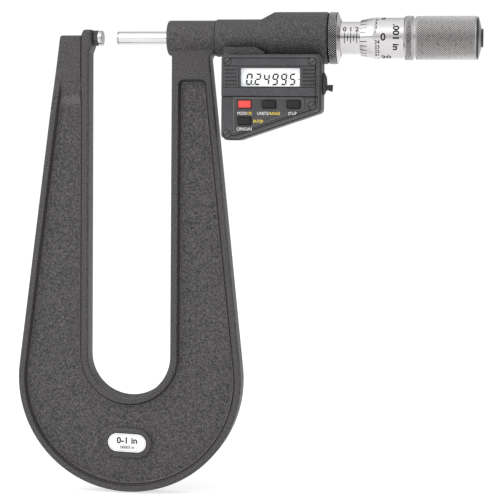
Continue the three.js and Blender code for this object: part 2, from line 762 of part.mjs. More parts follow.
function makeRearShell() {
  let body = brokenSlab(housingOutline(0, 2.0), PARTING - 1, SHELL_BACK, 0.8);
  body = body.intersect(box(SHELL_X0 - 5, SHELL_X1 + 5, PARTING, SHELL_BACK + 1, SHELL_Z0 - 5, SHELL_Z1 + 5));
  let hollow = slab(housingOutline(WALL + COVER_INSET, 0.8), PARTING - 2, SHELL_BACK - 1.7);
  for (const [x, z] of SCREW_SPOTS) hollow = hollow.subtract(peg(x, z, PARTING - 3, SHELL_BACK, POST_R));
  const well = peg(BATTERY_X, BATTERY_Z, WELL_FLOOR - 1.0, SHELL_BACK, BATTERY_R + GAP + WELL_WALL, 40);
  hollow = hollow.subtract(well);
  body = body.subtract(hollow);
  body = body.subtract(peg(BATTERY_X, BATTERY_Z, WELL_FLOOR, SHELL_BACK + 1, BATTERY_R + GAP, 40));
  for (const [x, z] of SCREW_SPOTS) {
    body = body.subtract(peg(x, z, PARTING - 3, PARTING + SCREW_L - 3, SCREW_R + GAP));
  }
  // saddle for the barrel, with the saddle block's clearance
  body = body.subtract(rod(BARREL_X0 - 2, CONE_X0, SMALL_R + GAP));
  body = body.subtract(turned([
    [CONE_X0 - 0.1, 0],
    [CONE_X0 - 0.1, SMALL_R + GAP],
    [CONE_X1, LARGE_R + GAP],
    [SHELL_X1 + 5, LARGE_R + GAP],
    [SHELL_X1 + 5, 0],
  ]));
  // way through for the data plug
  body = body.subtract(box(
    SHELL_X1 - WALL - COVER_INSET - 1,
    SHELL_X1 + 1,
    PORT_Y - PORT_H / 2,
    PORT_Y + PORT_H / 2,
    PORT_Z - PORT_W / 2,
    PORT_Z + PORT_W / 2,
  ));
  return body;
}

function makeLcdWindow() {
  const outline = rect(WINDOW_X0 + GAP / 2, WINDOW_X1 - GAP / 2, WINDOW_Z0 + GAP / 2, WINDOW_Z1 - GAP / 2);
  return slab(outline, COVER_FRONT + 0.5, COVER_FRONT + 0.5 + WINDOW_T);
}

function makeLcdPanel() {
  const y0 = COVER_FRONT + FRONT_WALL + STEP_D + 0.1;
  return slab(rect(WINDOW_X0 - 1.2, WINDOW_X1 + 1.2, WINDOW_Z0 - 1.2, WINDOW_Z1 + 1.2), y0, y0 + 1.4);
}

function makeCircuitBoard() {
  const y0 = PARTING - 1.7;
  let body = slab(housingOutline(COVER_INSET + WALL + GAP, 0.6), y0, y0 + BOARD_T);
  for (const [x, z] of SCREW_SPOTS) body = body.subtract(peg(x, z, y0 - 1, y0 + BOARD_T + 1, POST_R + GAP));
  body = body.subtract(box(SHELL_X0, SHELL_X1, y0 - 1, y0 + 3, SHELL_Z1 - 5.4, SHELL_Z1));
  return body;
}

function makeKeypadPanel() {
  const dx = SHELL_X1 - SHELL_SLANT_X;
  const slope = (SHELL_RIGHT_Z - SHELL_Z0) / dx;
  const line = (x) => SHELL_Z0 + (x - SHELL_SLANT_X) * slope + 3.1;
  const x0 = PANEL_X0;
  const x1 = PANEL_X1;
  const outline = rounded([
    [x0, SHELL_Z0 + 2.9, 0.8],
    [x0 + 1.6, SHELL_Z0 + 2.9, 0.4],
    [x1, line(x1), 0.8],
    [x1, STEP_Z - 0.35, 0.8],
    [x0, STEP_Z - 0.35, 0.8],
  ]);
  let body = slab(outline, COVER_STEP_FRONT - PANEL_T - 0.03, COVER_STEP_FRONT - 0.03);
  for (const spot of Object.values(KEY_SPOTS)) {
    body = body.subtract(slab(keyRect(spot, GAP), COVER_FRONT - 1, PARTING));
  }
  return body;
}

function makeKey(spot) {
  const front = COVER_STEP_FRONT - PANEL_T - KEY_OUT;
  const behind = COVER_FRONT + FRONT_WALL + STEP_D + 0.1;
  const [x, z] = spot;
  const cap = brokenSlab(keyRect(spot, 0), front, behind + 0.2, 0.2);
  const w = KEY_W / 2 + 0.7;
  const h = KEY_H / 2 + 0.7;
  return cap.add(box(x - w, x + w, behind, behind + KEY_FLANGE, z - h, z + h));
}

function makeCoverScrew([x, z], upper) {
  const front = (upper ? COVER_FRONT : COVER_STEP_FRONT) + 0.25;
  const seat = COVER_STEP_FRONT + SCREW_HEAD_T;
  let body = peg(x, z, front, seat, SCREW_HEAD_R);
  body = body.add(peg(x, z, seat - 0.2, PARTING + SCREW_L - 4, SCREW_R, 16));
  const slot = box(x - 2, x + 2, front - 1, front + 0.45, z - 0.22, z + 0.22);
  return body.subtract(slot.translate([-x, 0, -z]).rotate([0, -35, 0]).translate([x, 0, z]));
}

function makeBattery() {
  const y1 = SHELL_BACK - 1.7 - 0.1;
  return peg(BATTERY_X, BATTERY_Z, y1 - BATTERY_T, y1, BATTERY_R - 0.2, 40);
}

function makeBatteryContact() {
  return box(BATTERY_X - 3, BATTERY_X + 3, WELL_FLOOR + 0.05, WELL_FLOOR + 0.35, BATTERY_Z - 1.5, BATTERY_Z + 1.5);
}

function makeBatteryCap() {
  const y1 = SHELL_BACK + 0.2;
  const body = peg(BATTERY_X, BATTERY_Z, SHELL_BACK - 1.5, y1, BATTERY_R, 40);
  return body.subtract(box(BATTERY_X - 6, BATTERY_X + 6, y1 - 0.7, y1 + 1, BATTERY_Z - 0.7, BATTERY_Z + 0.7));
}

function makeDataPort() {
  const x1 = SHELL_X1 - WALL - COVER_INSET - GAP;
  const w = PORT_W / 2 + 0.8;
  const h = PORT_H / 2 + 0.8;
  let body = box(x1 - 6, x1, PORT_Y - h, PORT_Y + h, PORT_Z - w, PORT_Z + w);
  const iw = PORT_W / 2;
  const ih = PORT_H / 2;
  body = body.subtract(box(x1 - 5, x1 + 1, PORT_Y - ih, PORT_Y + ih, PORT_Z - iw, PORT_Z + iw));
  return body;
}

function makePortPlug() {
  const x0 = SHELL_X1 + BUTT;
  let body = turned([
    [x0, 0],
    [x0, PLUG_R - 0.3],
    [x0 + 0.3, PLUG_R],
    [x0 + 0.75, PLUG_R - 0.25],
    [x0 + 1.5, PLUG_R * 0.62],
    [x0 + 1.85, 0],
  ], 32).translate([0, PORT_Y, PORT_Z]);
  const stem = GAP;
  body = body.add(box(
    x0 - WALL - COVER_INSET - 2.0,
    x0 + 0.5,
    PORT_Y - PORT_H / 2 + stem,
    PORT_Y + PORT_H / 2 - stem,
    PORT_Z - PORT_W / 2 + stem,
    PORT_Z + PORT_W / 2 - stem,
  ));
  // pull tab: narrow neck, wider end
  const tab = rounded([
    [x0 + 1.0, PORT_Z - 2.7],
    [x0 + 2.2, PORT_Z - 2.7, 0.3],
    [x0 + 3.9, PORT_Z - 3.5, 0.5],
    [x0 + 4.1, PORT_Z - 0.4, 0.3],
    [x0 + 1.0, PORT_Z - 0.6],
  ]);
  return body.add(slab(tab, PORT_Y - 1.8, PORT_Y + 1.8));
}

// ================================================================ assembly
const LOOKS = {
  casting: { color: 0x4b494c, roughness: 0.75, metalness: 0.1 },
  plastic: { color: 0x444346, roughness: 0.6, metalness: 0.0 },
  rubber: { color: 0x3a393b, roughness: 0.85, metalness: 0.0 },
  satin: { color: 0xc2c0c0, roughness: 0.38, metalness: 0.9 },
  polished: { color: 0xd4d4d6, roughness: 0.15, metalness: 1.0 },
  carbide: { color: 0x9a9a9c, roughness: 0.2, metalness: 0.9 },
  plate: { color: 0xe8e6e6, roughness: 0.4, metalness: 0.4 },
  black: { color: 0x141416, roughness: 0.5, metalness: 0.0 },
  darkSteel: { color: 0x3d3c3f, roughness: 0.5, metalness: 0.6 },
  bronze: { color: 0xa8814c, roughness: 0.45, metalness: 0.9 },
  board: { color: 0x1f5a34, roughness: 0.6, metalness: 0.0 },
  glass: { color: 0xeef3f4, roughness: 0.1, metalness: 0.0 },
  red: { color: 0xe04848, roughness: 0.5, metalness: 0.0 },
  key: { color: 0x2c2b2d, roughness: 0.6, metalness: 0.0 },
};

const model = new THREE.Group();
model.name = 'outside_micrometer';

function place(name, look, body) {
  const mesh = new THREE.Mesh(toGeometry(body), new THREE.MeshStandardMaterial(LOOKS[look]));
  mesh.name = name;
  model.add(mesh);
  return mesh;
}

place('frame', 'casting', makeFrame());
place('name_plate', 'plate', makeNamePlate());
place('anvil_collar', 'darkSteel', makeAnvilCollar());
place('anvil', 'polished', makeAnvil());
place('anvil_tip', 'carbide', makeAnvilTip());
place('front_bushing', 'bronze', makeFrontBushing());
place('head_barrel', 'casting', makeHeadBarrel());
place('encoder_stator', 'board', makeEncoderStator());
place('encoder_rotor', 'bronze', makeEncoderRotor());
place('sleeve', 'satin', makeSleeve());
place('lock_ring', 'darkSteel', makeLockRing());
place('lock_collet', 'darkSteel', makeLockCollet());
place('spindle_nut', 'bronze', makeSpindleNut());
place('adjusting_nut', 'darkSteel', makeAdjustingNut());
place('spindle', 'polished', makeSpindle());
place('spindle_tip', 'carbide', makeSpindleTip());
place('thimble', 'satin', makeThimble());
place('friction_thimble', 'satin', makeFrictionThimble());
place('friction_spring', 'darkSteel', makeFrictionSpring());
place('end_screw', 'darkSteel', makeEndScrew());
place('end_cap', 'satin', makeEndCap());
place('end_button', 'black', makeEndButton());
place('rear_shell', 'plastic', makeRearShell());
place('front_cover', 'plastic', makeFrontCover());
place('lcd_window', 'glass', makeLcdWindow());
place('lcd_panel', 'glass', makeLcdPanel());
place('circuit_board', 'board', makeCircuitBoard());
place('keypad_panel', 'plastic', makeKeypadPanel());
for (const [name, spot] of Object.entries(KEY_SPOTS)) {
  place(name, name === 'button_shift' ? 'red' : 'key', makeKey(spot));
}
SCREW_SPOTS.forEach((spot, i) => place(`cover_screw_${i + 1}`, 'darkSteel', makeCoverScrew(spot, i < 2)));
place('battery', 'satin', makeBattery());
place('battery_contact', 'bronze', makeBatteryContact());
place('battery_cap', 'plastic', makeBatteryCap());
place('data_port', 'black', makeDataPort());
place('port_plug', 'rubber', makePortPlug());

export default model;
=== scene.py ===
"""Looks for a digital outside micrometer on a deep cast frame. Sizes in millimetres until a mesh is made."""

import math

import bmesh
import bpy
import numpy as np
from mathutils import Matrix, Vector
from mathutils.geometry import delaunay_2d_cdt
from mathutils.kdtree import KDTree


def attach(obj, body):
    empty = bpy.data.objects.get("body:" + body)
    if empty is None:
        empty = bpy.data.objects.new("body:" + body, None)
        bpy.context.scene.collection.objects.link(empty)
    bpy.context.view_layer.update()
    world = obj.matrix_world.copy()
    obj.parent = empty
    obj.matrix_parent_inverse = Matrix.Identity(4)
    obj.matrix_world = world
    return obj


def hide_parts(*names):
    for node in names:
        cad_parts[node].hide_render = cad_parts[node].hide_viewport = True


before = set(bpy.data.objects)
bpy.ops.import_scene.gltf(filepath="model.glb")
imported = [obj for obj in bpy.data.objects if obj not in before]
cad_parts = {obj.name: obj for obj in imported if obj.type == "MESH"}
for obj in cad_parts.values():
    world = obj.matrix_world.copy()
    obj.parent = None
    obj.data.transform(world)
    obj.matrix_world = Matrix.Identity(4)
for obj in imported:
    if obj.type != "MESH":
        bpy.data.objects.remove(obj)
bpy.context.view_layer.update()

MM = 0.001
TENTH = 2.54             # a tenth of an inch, one numbered mark on the sleeve
INK = (-0.02, 0.05)      # how far printing reaches under and over its surface

# ---------------------------------------------------------------- sizes, in mm
SIDES = 144
THROAT_X = 12.65
THROAT_R = 17.85
THROAT_Z = -135.15
OUTER_R = 48.5
OUTER_Z = -145.6
ARM_LEFT = (-18.0, 1.0)
ARM_RIGHT = (46.7, -8.6)
HALF_T = 5.0
EDGE_R = 0.8
RIM_OUT = 2.65
RIM_IN = 2.95
POCKET_DEPTH = 2.4
POCKET_RUN = 2.0
POCKET_TOP_RIGHT = -19.6
PAD_DROP = 0.9
THROAT_LEFT = 5.2
RIDGE_X = -8.6
LAND = (11.9, -172.9)
LAND_R = 6.45
LAND_REACH = 4.2
LAND_FACE = 4.5
SEAT_R = 4.2
SEAT_REACH = 4.4
SEAT_FLOOR = 3.6
PLATE_R = 3.9
PLATE_REACH = 4.4
PLATE_FACE = 4.3
LAND_TILT = math.radians(-2.0)
BOSS_X0 = -7.8
BOSS_X1 = -4.1
BOSS_R = 3.5
HUB_R = 7.4
HUB_X0 = 28.45
HUB_X1 = 48.9
HUB_FILLET = 1.5
SLEEVE_R = 6.8
ZERO_X = 103.5
EDGE_X = 109.85
THIMBLE_R = 8.45
THIMBLE_EDGE_R = 7.35
BEVEL_END = 115.1
KNURL_PITCH = 1.0
KNURL_DEPTH = 0.36
COVER_FRONT = 19.0
STEP_FRONT = 18.4
STEP_Z = -24.85
COVER_EDGE = 0.9
COVER_BACK = 13.05
COVER_HOLLOW = 16.4
COVER_WALL = 1.6
POST_R = 2.3
RECESS_R = 1.7
RECESS_FLOOR = 16.9
WINDOW_BOX = (61.85, 86.4, -20.9, -13.4)
PANEL_Y = -18.68
GLASS_BACK_Y = -16.3
DIVISIONS = 25


# ---------------------------------------------------------------- outline tools
def eased(points, steps=5):
    """Closed outline with rounded corners; a point is (x, z) or (x, z, radius)."""
    out = []
    count = len(points)
    for i, point in enumerate(points):
        here = Vector(point[:2])
        radius = point[2] if len(point) > 2 else 0.0
        if radius <= 0.0:
            out.append(here)
            continue
        back = Vector(points[i - 1][:2]) - here
        on = Vector(points[(i + 1) % count][:2]) - here
        limit = 0.49 * min(back.length, on.length)
        back.normalize()
        on.normalize()
        half = math.acos(max(-1.0, min(1.0, back.dot(on)))) / 2
        reach = min(radius / math.tan(half), limit)
        radius = reach * math.tan(half)
        centre = here + (back + on).normalized() * (radius / math.sin(half))
        start = here + back * reach - centre
        end = here + on * reach - centre
        turn = math.atan2(start.x * end.y - start.y * end.x, start.dot(end))
        for k in range(steps + 1):
            a = turn * k / steps
            c, s = math.cos(a), math.sin(a)
            out.append(centre + Vector((start.x * c - start.y * s, start.x * s + start.y * c)))
    return [p for i, p in enumerate(out) if (p - out[i - 1]).length > 1e-4]


def arc(cx, cz, radius, start, end, steps):
    """Points of an arc from one angle to another."""
    angles = [start + (end - start) * k / steps for k in range(steps + 1)]
    return [(cx + radius * math.cos(a), cz + radius * math.sin(a)) for a in angles]


def capsule(cx, cz, reach, radius, steps=16):
    """Outline of a slot shape lying along X."""
    right = arc(cx + reach, cz, radius, -math.pi / 2, math.pi / 2, steps)
    left = arc(cx - reach, cz, radius, math.pi / 2, 1.5 * math.pi, steps)
    return right + left


def paced(outline, step):
    """The same closed outline with points about a step apart."""
    out = []
    for i, here in enumerate(outline):
        on = outline[(i + 1) % len(outline)]
        pieces = max(1, round(math.dist(here, on) / step))
        out += [
            (here[0] + (on[0] - here[0]) * k / pieces, here[1] + (on[1] - here[1]) * k / pieces)
            for k in range(pieces)
        ]
    return np.array(out)


def inset(outline, amount):
    """Points moved to the left of the outline's run by an amount."""
    on = np.roll(outline, -1, axis=0) - np.roll(outline, 1, axis=0)
    on /= np.linalg.norm(on, axis=1)[:, None]
    return outline + amount * np.stack([-on[:, 1], on[:, 0]], axis=1)


def depth_in(points, outline):
    """Distance of each point from a closed outline, above 0 inside it."""
    a = np.asarray(outline, float)
    b = np.roll(a, -1, axis=0)
    run = b - a
    rise = np.where(np.abs(run[:, 1]) < 1e-12, 1e-12, run[:, 1])
    out = np.empty(len(points))
    for s in range(0, len(points), 1500):
        p = points[s : s + 1500, None, :]
        away = p - a
        t = np.clip((away * run).sum(-1) / (run * run).sum(-1), 0, 1)
        nearest = np.sqrt(((away - t[..., None] * run) ** 2).sum(-1)).min(1)
        spans = (a[:, 1] > p[..., 1]) != (b[:, 1] > p[..., 1])
        hits = spans & (p[..., 0] < run[:, 0] * (p[..., 1] - a[:, 1]) / rise + a[:, 0])
        out[s : s + 1500] = np.where(hits.sum(1) % 2 == 1, nearest, -nearest)
    return out


def tangent_angle(px, pz, side):
    """Angle on the outer bend where a line from this point touches it."""
    dx, dz = px - THROAT_X, pz - OUTER_Z
    return math.atan2(dz, dx) + side * math.acos(OUTER_R / math.hypot(dx, dz))


def eased_step(value, low, high):
    """0 below low, 1 above high, smooth between."""
    t = np.clip((value - low) / (high - low), 0, 1)
    return t * t * (3 - 2 * t)


# ---------------------------------------------------------------- solid tools
def outward(points, faces):
    """The faces turned so that the closed shape's inside is behind them."""
    p = np.asarray(points, float)
    volume = 0.0
    for f in faces:
        for k in range(1, len(f) - 1):
            volume += np.dot(p[f[0]], np.cross(p[f[k]], p[f[k + 1]]))
    return faces if volume > 0 else [list(reversed(f)) for f in faces]


def turned(profile, sides=SIDES):
    """Piece turned round the X axis from (x, r) or (x, r, corner radius) points."""
    ring = [tuple(p) for p in eased(profile, 4)]
    open_ended = ring[0][1] < 1e-6 and ring[-1][1] < 1e-6
    points, rows = [], []
    for x, r in ring:
        if r < 1e-6:
            rows.append([len(points)] * sides)
            points.append((x, 0.0, 0.0))
            continue
        rows.append(list(range(len(points), len(points) + sides)))
        for k in range(sides):
            a = 2 * math.pi * k / sides
            points.append((x, -r * math.cos(a), r * math.sin(a)))
    pairs = list(zip(rows, rows[1:]))
    if not open_ended:
        pairs.append((rows[-1], rows[0]))
    faces = []
    for one, two in pairs:
        for k in range(sides):
            n = (k + 1) % sides
            face = []
            for i in (one[k], one[n], two[n], two[k]):
                if i not in face:
                    face.append(i)
            if len(face) > 2:
                faces.append(face)
    return points, outward(points, faces)


def prism(outline, y0, y1):
    """Outline in X and Z given a thickness along Y."""
    n = len(outline)
    points = [(p[0], y0, p[1]) for p in outline] + [(p[0], y1, p[1]) for p in outline]
    faces = [list(range(n)), list(range(2 * n - 1, n - 1, -1))]
    faces += [[i, (i + 1) % n, n + (i + 1) % n, n + i] for i in range(n)]
    return points, outward(points, faces)


def band(outline, width, y0, y1):
    """Flat line of a given width inside an outline."""
    rim = np.array([tuple(p) for p in outline], float)
    inner = inset(rim, width)
    if depth_in(inner[:1], rim)[0] < 0:
        inner = inset(rim, -width)
    n = len(rim)
    points = []
    for y in (y0, y1):
        points += [(p[0], y, p[1]) for p in rim] + [(p[0], y, p[1]) for p in inner]
    faces = []
    for i in range(n):
        j = (i + 1) % n
        faces += [
            [i, j, n + j, n + i],
            [2 * n + j, 2 * n + i, 3 * n + i, 3 * n + j],
            [j, i, 2 * n + i, 2 * n + j],
            [n + i, n + j, 3 * n + j, 3 * n + i],
        ]
    return points, outward(points, faces)


def wrapped(part, radius, strip=0.35):
    """A part drawn flat in X and Z, cut in strips and wound round the X axis.

    Its Y is height off the radius.
    """
    work = bmesh.new()
    corners = [work.verts.new(p) for p in part[0]]
    for f in part[1]:
        work.faces.new([corners[i] for i in f])
    low = min(p[2] for p in part[0])
    high = max(p[2] for p in part[0])
    for k in range(1, math.ceil((high - low) / strip)):
        everything = work.verts[:] + work.edges[:] + work.faces[:]
        cut = (0, 0, low + k * strip)
        bmesh.ops.bisect_plane(work, geom=everything, dist=1e-5, plane_co=cut, plane_no=(0, 0, 1))
    work.verts.index_update()
    points = []
    for v in work.verts:
        a = v.co.z / radius
        r = radius - v.co.y
        points.append((v.co.x, -r * math.cos(a), r * math.sin(a)))
    faces = [[v.index for v in f.verts] for f in work.faces]
    work.free()
    return points, faces


def lettering(text, height, x, z, y0, y1, across=False, middle=False, width=None, bold=0.0):
    """Closed letters between two depths, as wide as asked. Across: they run down, and their tops face +X."""
    curve = bpy.data.curves.new("letters", "FONT")
    curve.body = text
    curve.extrude = 0.5
    curve.resolution_u = 3
    curve.offset = bold
    holder = bpy.data.objects.new("letters", curve)
    bpy.context.scene.collection.objects.link(holder)
    mesh = bpy.data.meshes.new_from_object(holder.evaluated_get(bpy.context.evaluated_depsgraph_get()))
    bpy.data.objects.remove(holder)
    work = bmesh.new()
    work.from_mesh(mesh)
    bmesh.ops.remove_doubles(work, verts=work.verts, dist=1e-5)
    co = np.array([v.co for v in work.verts])
    faces = [[v.index for v in f.verts] for f in work.faces]
    work.free()
    bpy.data.meshes.remove(mesh)
    scale = height / 0.7
    u = (co[:, 0] - co[:, 0].min()) * scale
    if width:
        u *= width / u.max()
    if middle:
        u = u - u.max() / 2
    v = co[:, 1] * scale
    y = np.where(co[:, 2] > 0, y0, y1)
    places = zip(x + v, y, z - u) if across else zip(x + u, y, z + v)
    points = [tuple(p) for p in places]
    return points, outward(points, faces)


# ---------------------------------------------------------------- making pieces
def settle(name, mesh, finish, body, nodes=(), crease=32.0):
    """A mesh becomes a piece that rides on a body."""
    mesh.materials.clear()
    mesh.materials.append(finish)
    mesh.shade_smooth()
    mesh.set_sharp_from_angle(angle=math.radians(crease))
    mesh.update()
    obj = bpy.data.objects.new(name, mesh)
    bpy.context.scene.collection.objects.link(obj)
    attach(obj, body)
    if nodes:
        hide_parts(*nodes)
    return obj


def assembled(name, parts):
    """One mesh, in metres, from several closed parts."""
    points, faces = [], []
    for part_points, part_faces in parts:
        start = len(points)
        points += [[c * MM for c in p] for p in part_points]
        faces += [[start + i for i in f] for f in part_faces]
    mesh = bpy.data.meshes.new(name)
    mesh.from_pydata(points, [], faces)
    mesh.validate()
    return mesh


def put(name, parts, finish, body, nodes=(), crease=32.0):
    """Closed parts become one piece."""
    return settle(name, assembled(name, parts), finish, body, nodes, crease)


def baked(holder, name):
    """The evaluated mesh of an object that carries modifiers."""
    graph = bpy.context.evaluated_depsgraph_get()
    mesh = bpy.data.meshes.new_from_object(holder.evaluated_get(graph))
    mesh.name = name
    bpy.data.objects.remove(holder)
    return mesh


def broken_edges(name, node, width, finish, body, angle=28.0, segments=2):
    """A copy of a solid with its sharp edges rounded."""
    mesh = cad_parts[node].data.copy()
    work = bmesh.new()
    work.from_mesh(mesh)
    bmesh.ops.remove_doubles(work, verts=work.verts, dist=2e-6)
    bmesh.ops.dissolve_limit(
        work, angle_limit=math.radians(0.6), verts=work.verts, edges=work.edges
    )
    work.to_mesh(mesh)
    work.free()
    holder = bpy.data.objects.new(name, mesh)
    bpy.context.scene.collection.objects.link(holder)
    bevel = holder.modifiers.new("edge", "BEVEL")
    bevel.width = width * MM
    bevel.segments = segments
    bevel.limit_method = "ANGLE"
    bevel.angle_limit = math.radians(angle)
    bevel.miter_outer = "MITER_ARC"
    return settle(name, baked(holder, name), finish, body, (node,), 40.0)


# ---------------------------------------------------------------- repeating work
def group_tree(name, inputs):
    """An empty geometry tree with named inputs."""
    tree = bpy.data.node_groups.new(name, "GeometryNodeTree")
    for label, kind in inputs:
        tree.interface.new_socket(label, in_out="INPUT", socket_type="NodeSocket" + kind)
    tree.interface.new_socket("Geometry", in_out="OUTPUT", socket_type="NodeSocketGeometry")
    return tree


def sum_of(tree, operation, *values):
    """A math node; each value is a socket or a number."""
    node = tree.nodes.new("ShaderNodeMath")
    node.operation = operation
    for i, value in enumerate(values):
        if isinstance(value, (int, float)):
            node.inputs[i].default_value = value
        else:
            tree.links.new(value, node.inputs[i])
    return node.outputs[0]


def finish_tree(tree, instances, material):
    """Real meshes with their material go to the tree's output."""
    real = tree.nodes.new("GeometryNodeRealizeInstances")
    paint = tree.nodes.new("GeometryNodeSetMaterial")
    out = tree.nodes.new("NodeGroupOutput")
    tree.links.new(instances, real.inputs[0])
    tree.links.new(real.outputs[0], paint.inputs["Geometry"])
    tree.links.new(material, paint.inputs["Material"])
    tree.links.new(paint.outputs[0], out.inputs[0])


def ring_tree():
    """Copies of a shape in rings round the X axis, ring after ring along it."""
    tree = group_tree(
        "rings_of_copies",
        [
            ("Shape", "Object"),
            ("Around", "Int"),
            ("Rings", "Int"),
            ("First Ring", "Float"),
            ("Ring Pitch", "Float"),
            ("Stagger", "Float"),
            ("Material", "Material"),
        ],
    )
    given = tree.nodes.new("NodeGroupInput").outputs
    shape = tree.nodes.new("GeometryNodeObjectInfo")
    tree.links.new(given["Shape"], shape.inputs["Object"])
    total = sum_of(tree, "MULTIPLY", given["Around"], given["Rings"])
    dots = tree.nodes.new("GeometryNodePoints")
    tree.links.new(total, dots.inputs["Count"])
    index = tree.nodes.new("GeometryNodeInputIndex").outputs[0]
    ring = sum_of(tree, "FLOOR", sum_of(tree, "DIVIDE", sum_of(tree, "ADD", index, 0.5), given["Around"]))
    spot = sum_of(tree, "SUBTRACT", index, sum_of(tree, "MULTIPLY", ring, given["Around"]))
    odd = sum_of(tree, "MODULO", ring, 2.0)
    turn = sum_of(tree, "ADD", spot, sum_of(tree, "MULTIPLY", odd, given["Stagger"]))
    angle = sum_of(tree, "DIVIDE", sum_of(tree, "MULTIPLY", turn, 2 * math.pi), given["Around"])
    along = sum_of(tree, "ADD", given["First Ring"], sum_of(tree, "MULTIPLY", ring, given["Ring Pitch"]))
    place = tree.nodes.new("ShaderNodeCombineXYZ")
    tree.links.new(along, place.inputs["X"])
    tree.links.new(place.outputs[0], dots.inputs["Position"])
    tilt = tree.nodes.new("ShaderNodeCombineXYZ")
    tree.links.new(angle, tilt.inputs["X"])
    turned_to = tree.nodes.new("FunctionNodeEulerToRotation")
    tree.links.new(tilt.outputs[0], turned_to.inputs[0])
    copies = tree.nodes.new("GeometryNodeInstanceOnPoints")
    tree.links.new(dots.outputs[0], copies.inputs["Points"])
    tree.links.new(shape.outputs["Geometry"], copies.inputs["Instance"])
    tree.links.new(turned_to.outputs[0], copies.inputs["Rotation"])
    finish_tree(tree, copies.outputs[0], given["Material"])
    return tree


def row_tree():
    """Copies of a shape in a straight row."""
    tree = group_tree(
        "row_of_copies",
        [("Shape", "Object"), ("Count", "Int"), ("Step", "Vector"), ("Material", "Material")],
    )
    given = tree.nodes.new("NodeGroupInput").outputs
    shape = tree.nodes.new("GeometryNodeObjectInfo")
    tree.links.new(given["Shape"], shape.inputs["Object"])
    line = tree.nodes.new("GeometryNodeMeshLine")
    tree.links.new(given["Count"], line.inputs["Count"])
    tree.links.new(given["Step"], line.inputs["Offset"])
    copies = tree.nodes.new("GeometryNodeInstanceOnPoints")
    tree.links.new(line.outputs[0], copies.inputs["Points"])
    tree.links.new(shape.outputs["Geometry"], copies.inputs["Instance"])
    finish_tree(tree, copies.outputs[0], given["Material"])
    return tree


def repeated(name, tree, parts, **values):
    """The mesh of a tree fed with a shape and its sizes. Sizes are in metres or plain counts."""
    template = bpy.data.objects.new(name + "_shape", assembled(name + "_shape", parts))
    holder = bpy.data.objects.new(name, bpy.data.meshes.new(name))
    for obj in (template, holder):
        bpy.context.scene.collection.objects.link(obj)
    modifier = holder.modifiers.new("copies", "NODES")
    modifier.node_group = tree
    values["Shape"] = template
    for item in tree.interface.items_tree:
        label = item.name.replace(" ", "_")
        if item.item_type == "SOCKET" and item.in_out == "INPUT" and label in values:
            modifier[item.identifier] = values[label]
    mesh = baked(holder, name)
    bpy.data.objects.remove(template)
    return mesh


def joined(name, meshes):
    """Several meshes, already in metres, as one."""
    work = bmesh.new()
    for mesh in meshes:
        work.from_mesh(mesh)
    out = bpy.data.meshes.new(name)
    work.to_mesh(out)
    work.free()
    return out


# ---------------------------------------------------------------- finishes
class Finish:
    """A material under construction."""

    def __init__(self, name, colour, rough, metallic=0.0, specular=0.5):
        self.material = bpy.data.materials.new(name)
        self.material.use_nodes = True
        self.tree = self.material.node_tree
        self.shader = self.tree.nodes["Principled BSDF"]
        self.shader.inputs["Metallic"].default_value = metallic
        self.shader.inputs["Specular IOR Level"].default_value = specular
        self.colour = colour
        self.rough = rough
        self.where = self.tree.nodes.new("ShaderNodeTexCoord").outputs["Object"]

    def link(self, source, target):
        self.tree.links.new(source, target)

    def mapped(self, scale=(1, 1, 1)):
        node = self.tree.nodes.new("ShaderNodeMapping")
        node.inputs["Scale"].default_value = scale
        self.link(self.where, node.inputs["Vector"])
        return node.outputs[0]

    def noise(self, scale, detail=4.0, stretch=(1, 1, 1), roughness=0.55):
        node = self.tree.nodes.new("ShaderNodeTexNoise")
        node.inputs["Scale"].default_value = scale
        node.inputs["Detail"].default_value = detail
        node.inputs["Roughness"].default_value = roughness
        self.link(self.mapped(stretch), node.inputs["Vector"])
        return node.outputs["Fac"]

    def ranged(self, value, low, high, out_low, out_high):
        node = self.tree.nodes.new("ShaderNodeMapRange")
        span = (("From Min", low), ("From Max", high), ("To Min", out_low), ("To Max", out_high))
        for label, number in span:
            node.inputs[label].default_value = number
        self.link(value, node.inputs["Value"])
        return node.outputs[0]

    def math(self, operation, *values):
        return sum_of(self.tree, operation, *values)

    def shade(self, value, low, high, darker, lighter):
        """Colour runs from darker to lighter shares of the base as value goes from low to high."""
        node = self.tree.nodes.new("ShaderNodeMix")
        node.data_type = "RGBA"
        sockets = {s.identifier: s for s in node.inputs}
        sockets["A_Color"].default_value = [c * darker for c in self.colour] + [1.0]
        sockets["B_Color"].default_value = [min(1.0, c * lighter) for c in self.colour] + [1.0]
        self.link(self.ranged(value, low, high, 0.0, 1.0), sockets["Factor_Float"])
        out = next(s for s in node.outputs if s.identifier == "Result_Color")
        self.link(out, self.shader.inputs["Base Color"])

    def roughen(self, value, low, high, spread):
        rough = self.ranged(value, low, high, self.rough - spread, self.rough + spread)
        self.link(rough, self.shader.inputs["Roughness"])

    def bump(self, value, strength, distance):
        node = self.tree.nodes.new("ShaderNodeBump")
        node.inputs["Strength"].default_value = strength
        node.inputs["Distance"].default_value = distance * MM
        self.link(value, node.inputs["Height"])
        self.link(node.outputs[0], self.shader.inputs["Normal"])


def plain_finish(name, colour, rough, grain, bump, metallic=0.0, specular=0.5, vary=0.12, stretch=(1, 1, 1)):
    """A finish with fine grain in colour, gloss and height."""
    made = Finish(name, colour, rough, metallic, specular)
    fine = made.noise(grain, 5.0, stretch)
    broad = made.noise(grain * 0.06, 3.0, stretch)
    mottle = made.math("ADD", made.math("MULTIPLY", fine, 0.6), made.math("MULTIPLY", broad, 0.4))
    made.shade(mottle, 0.3, 0.7, 1 - vary, 1 + vary)
    made.roughen(broad, 0.3, 0.7, 0.06)
    made.bump(fine, 0.6, bump)
    return made.material


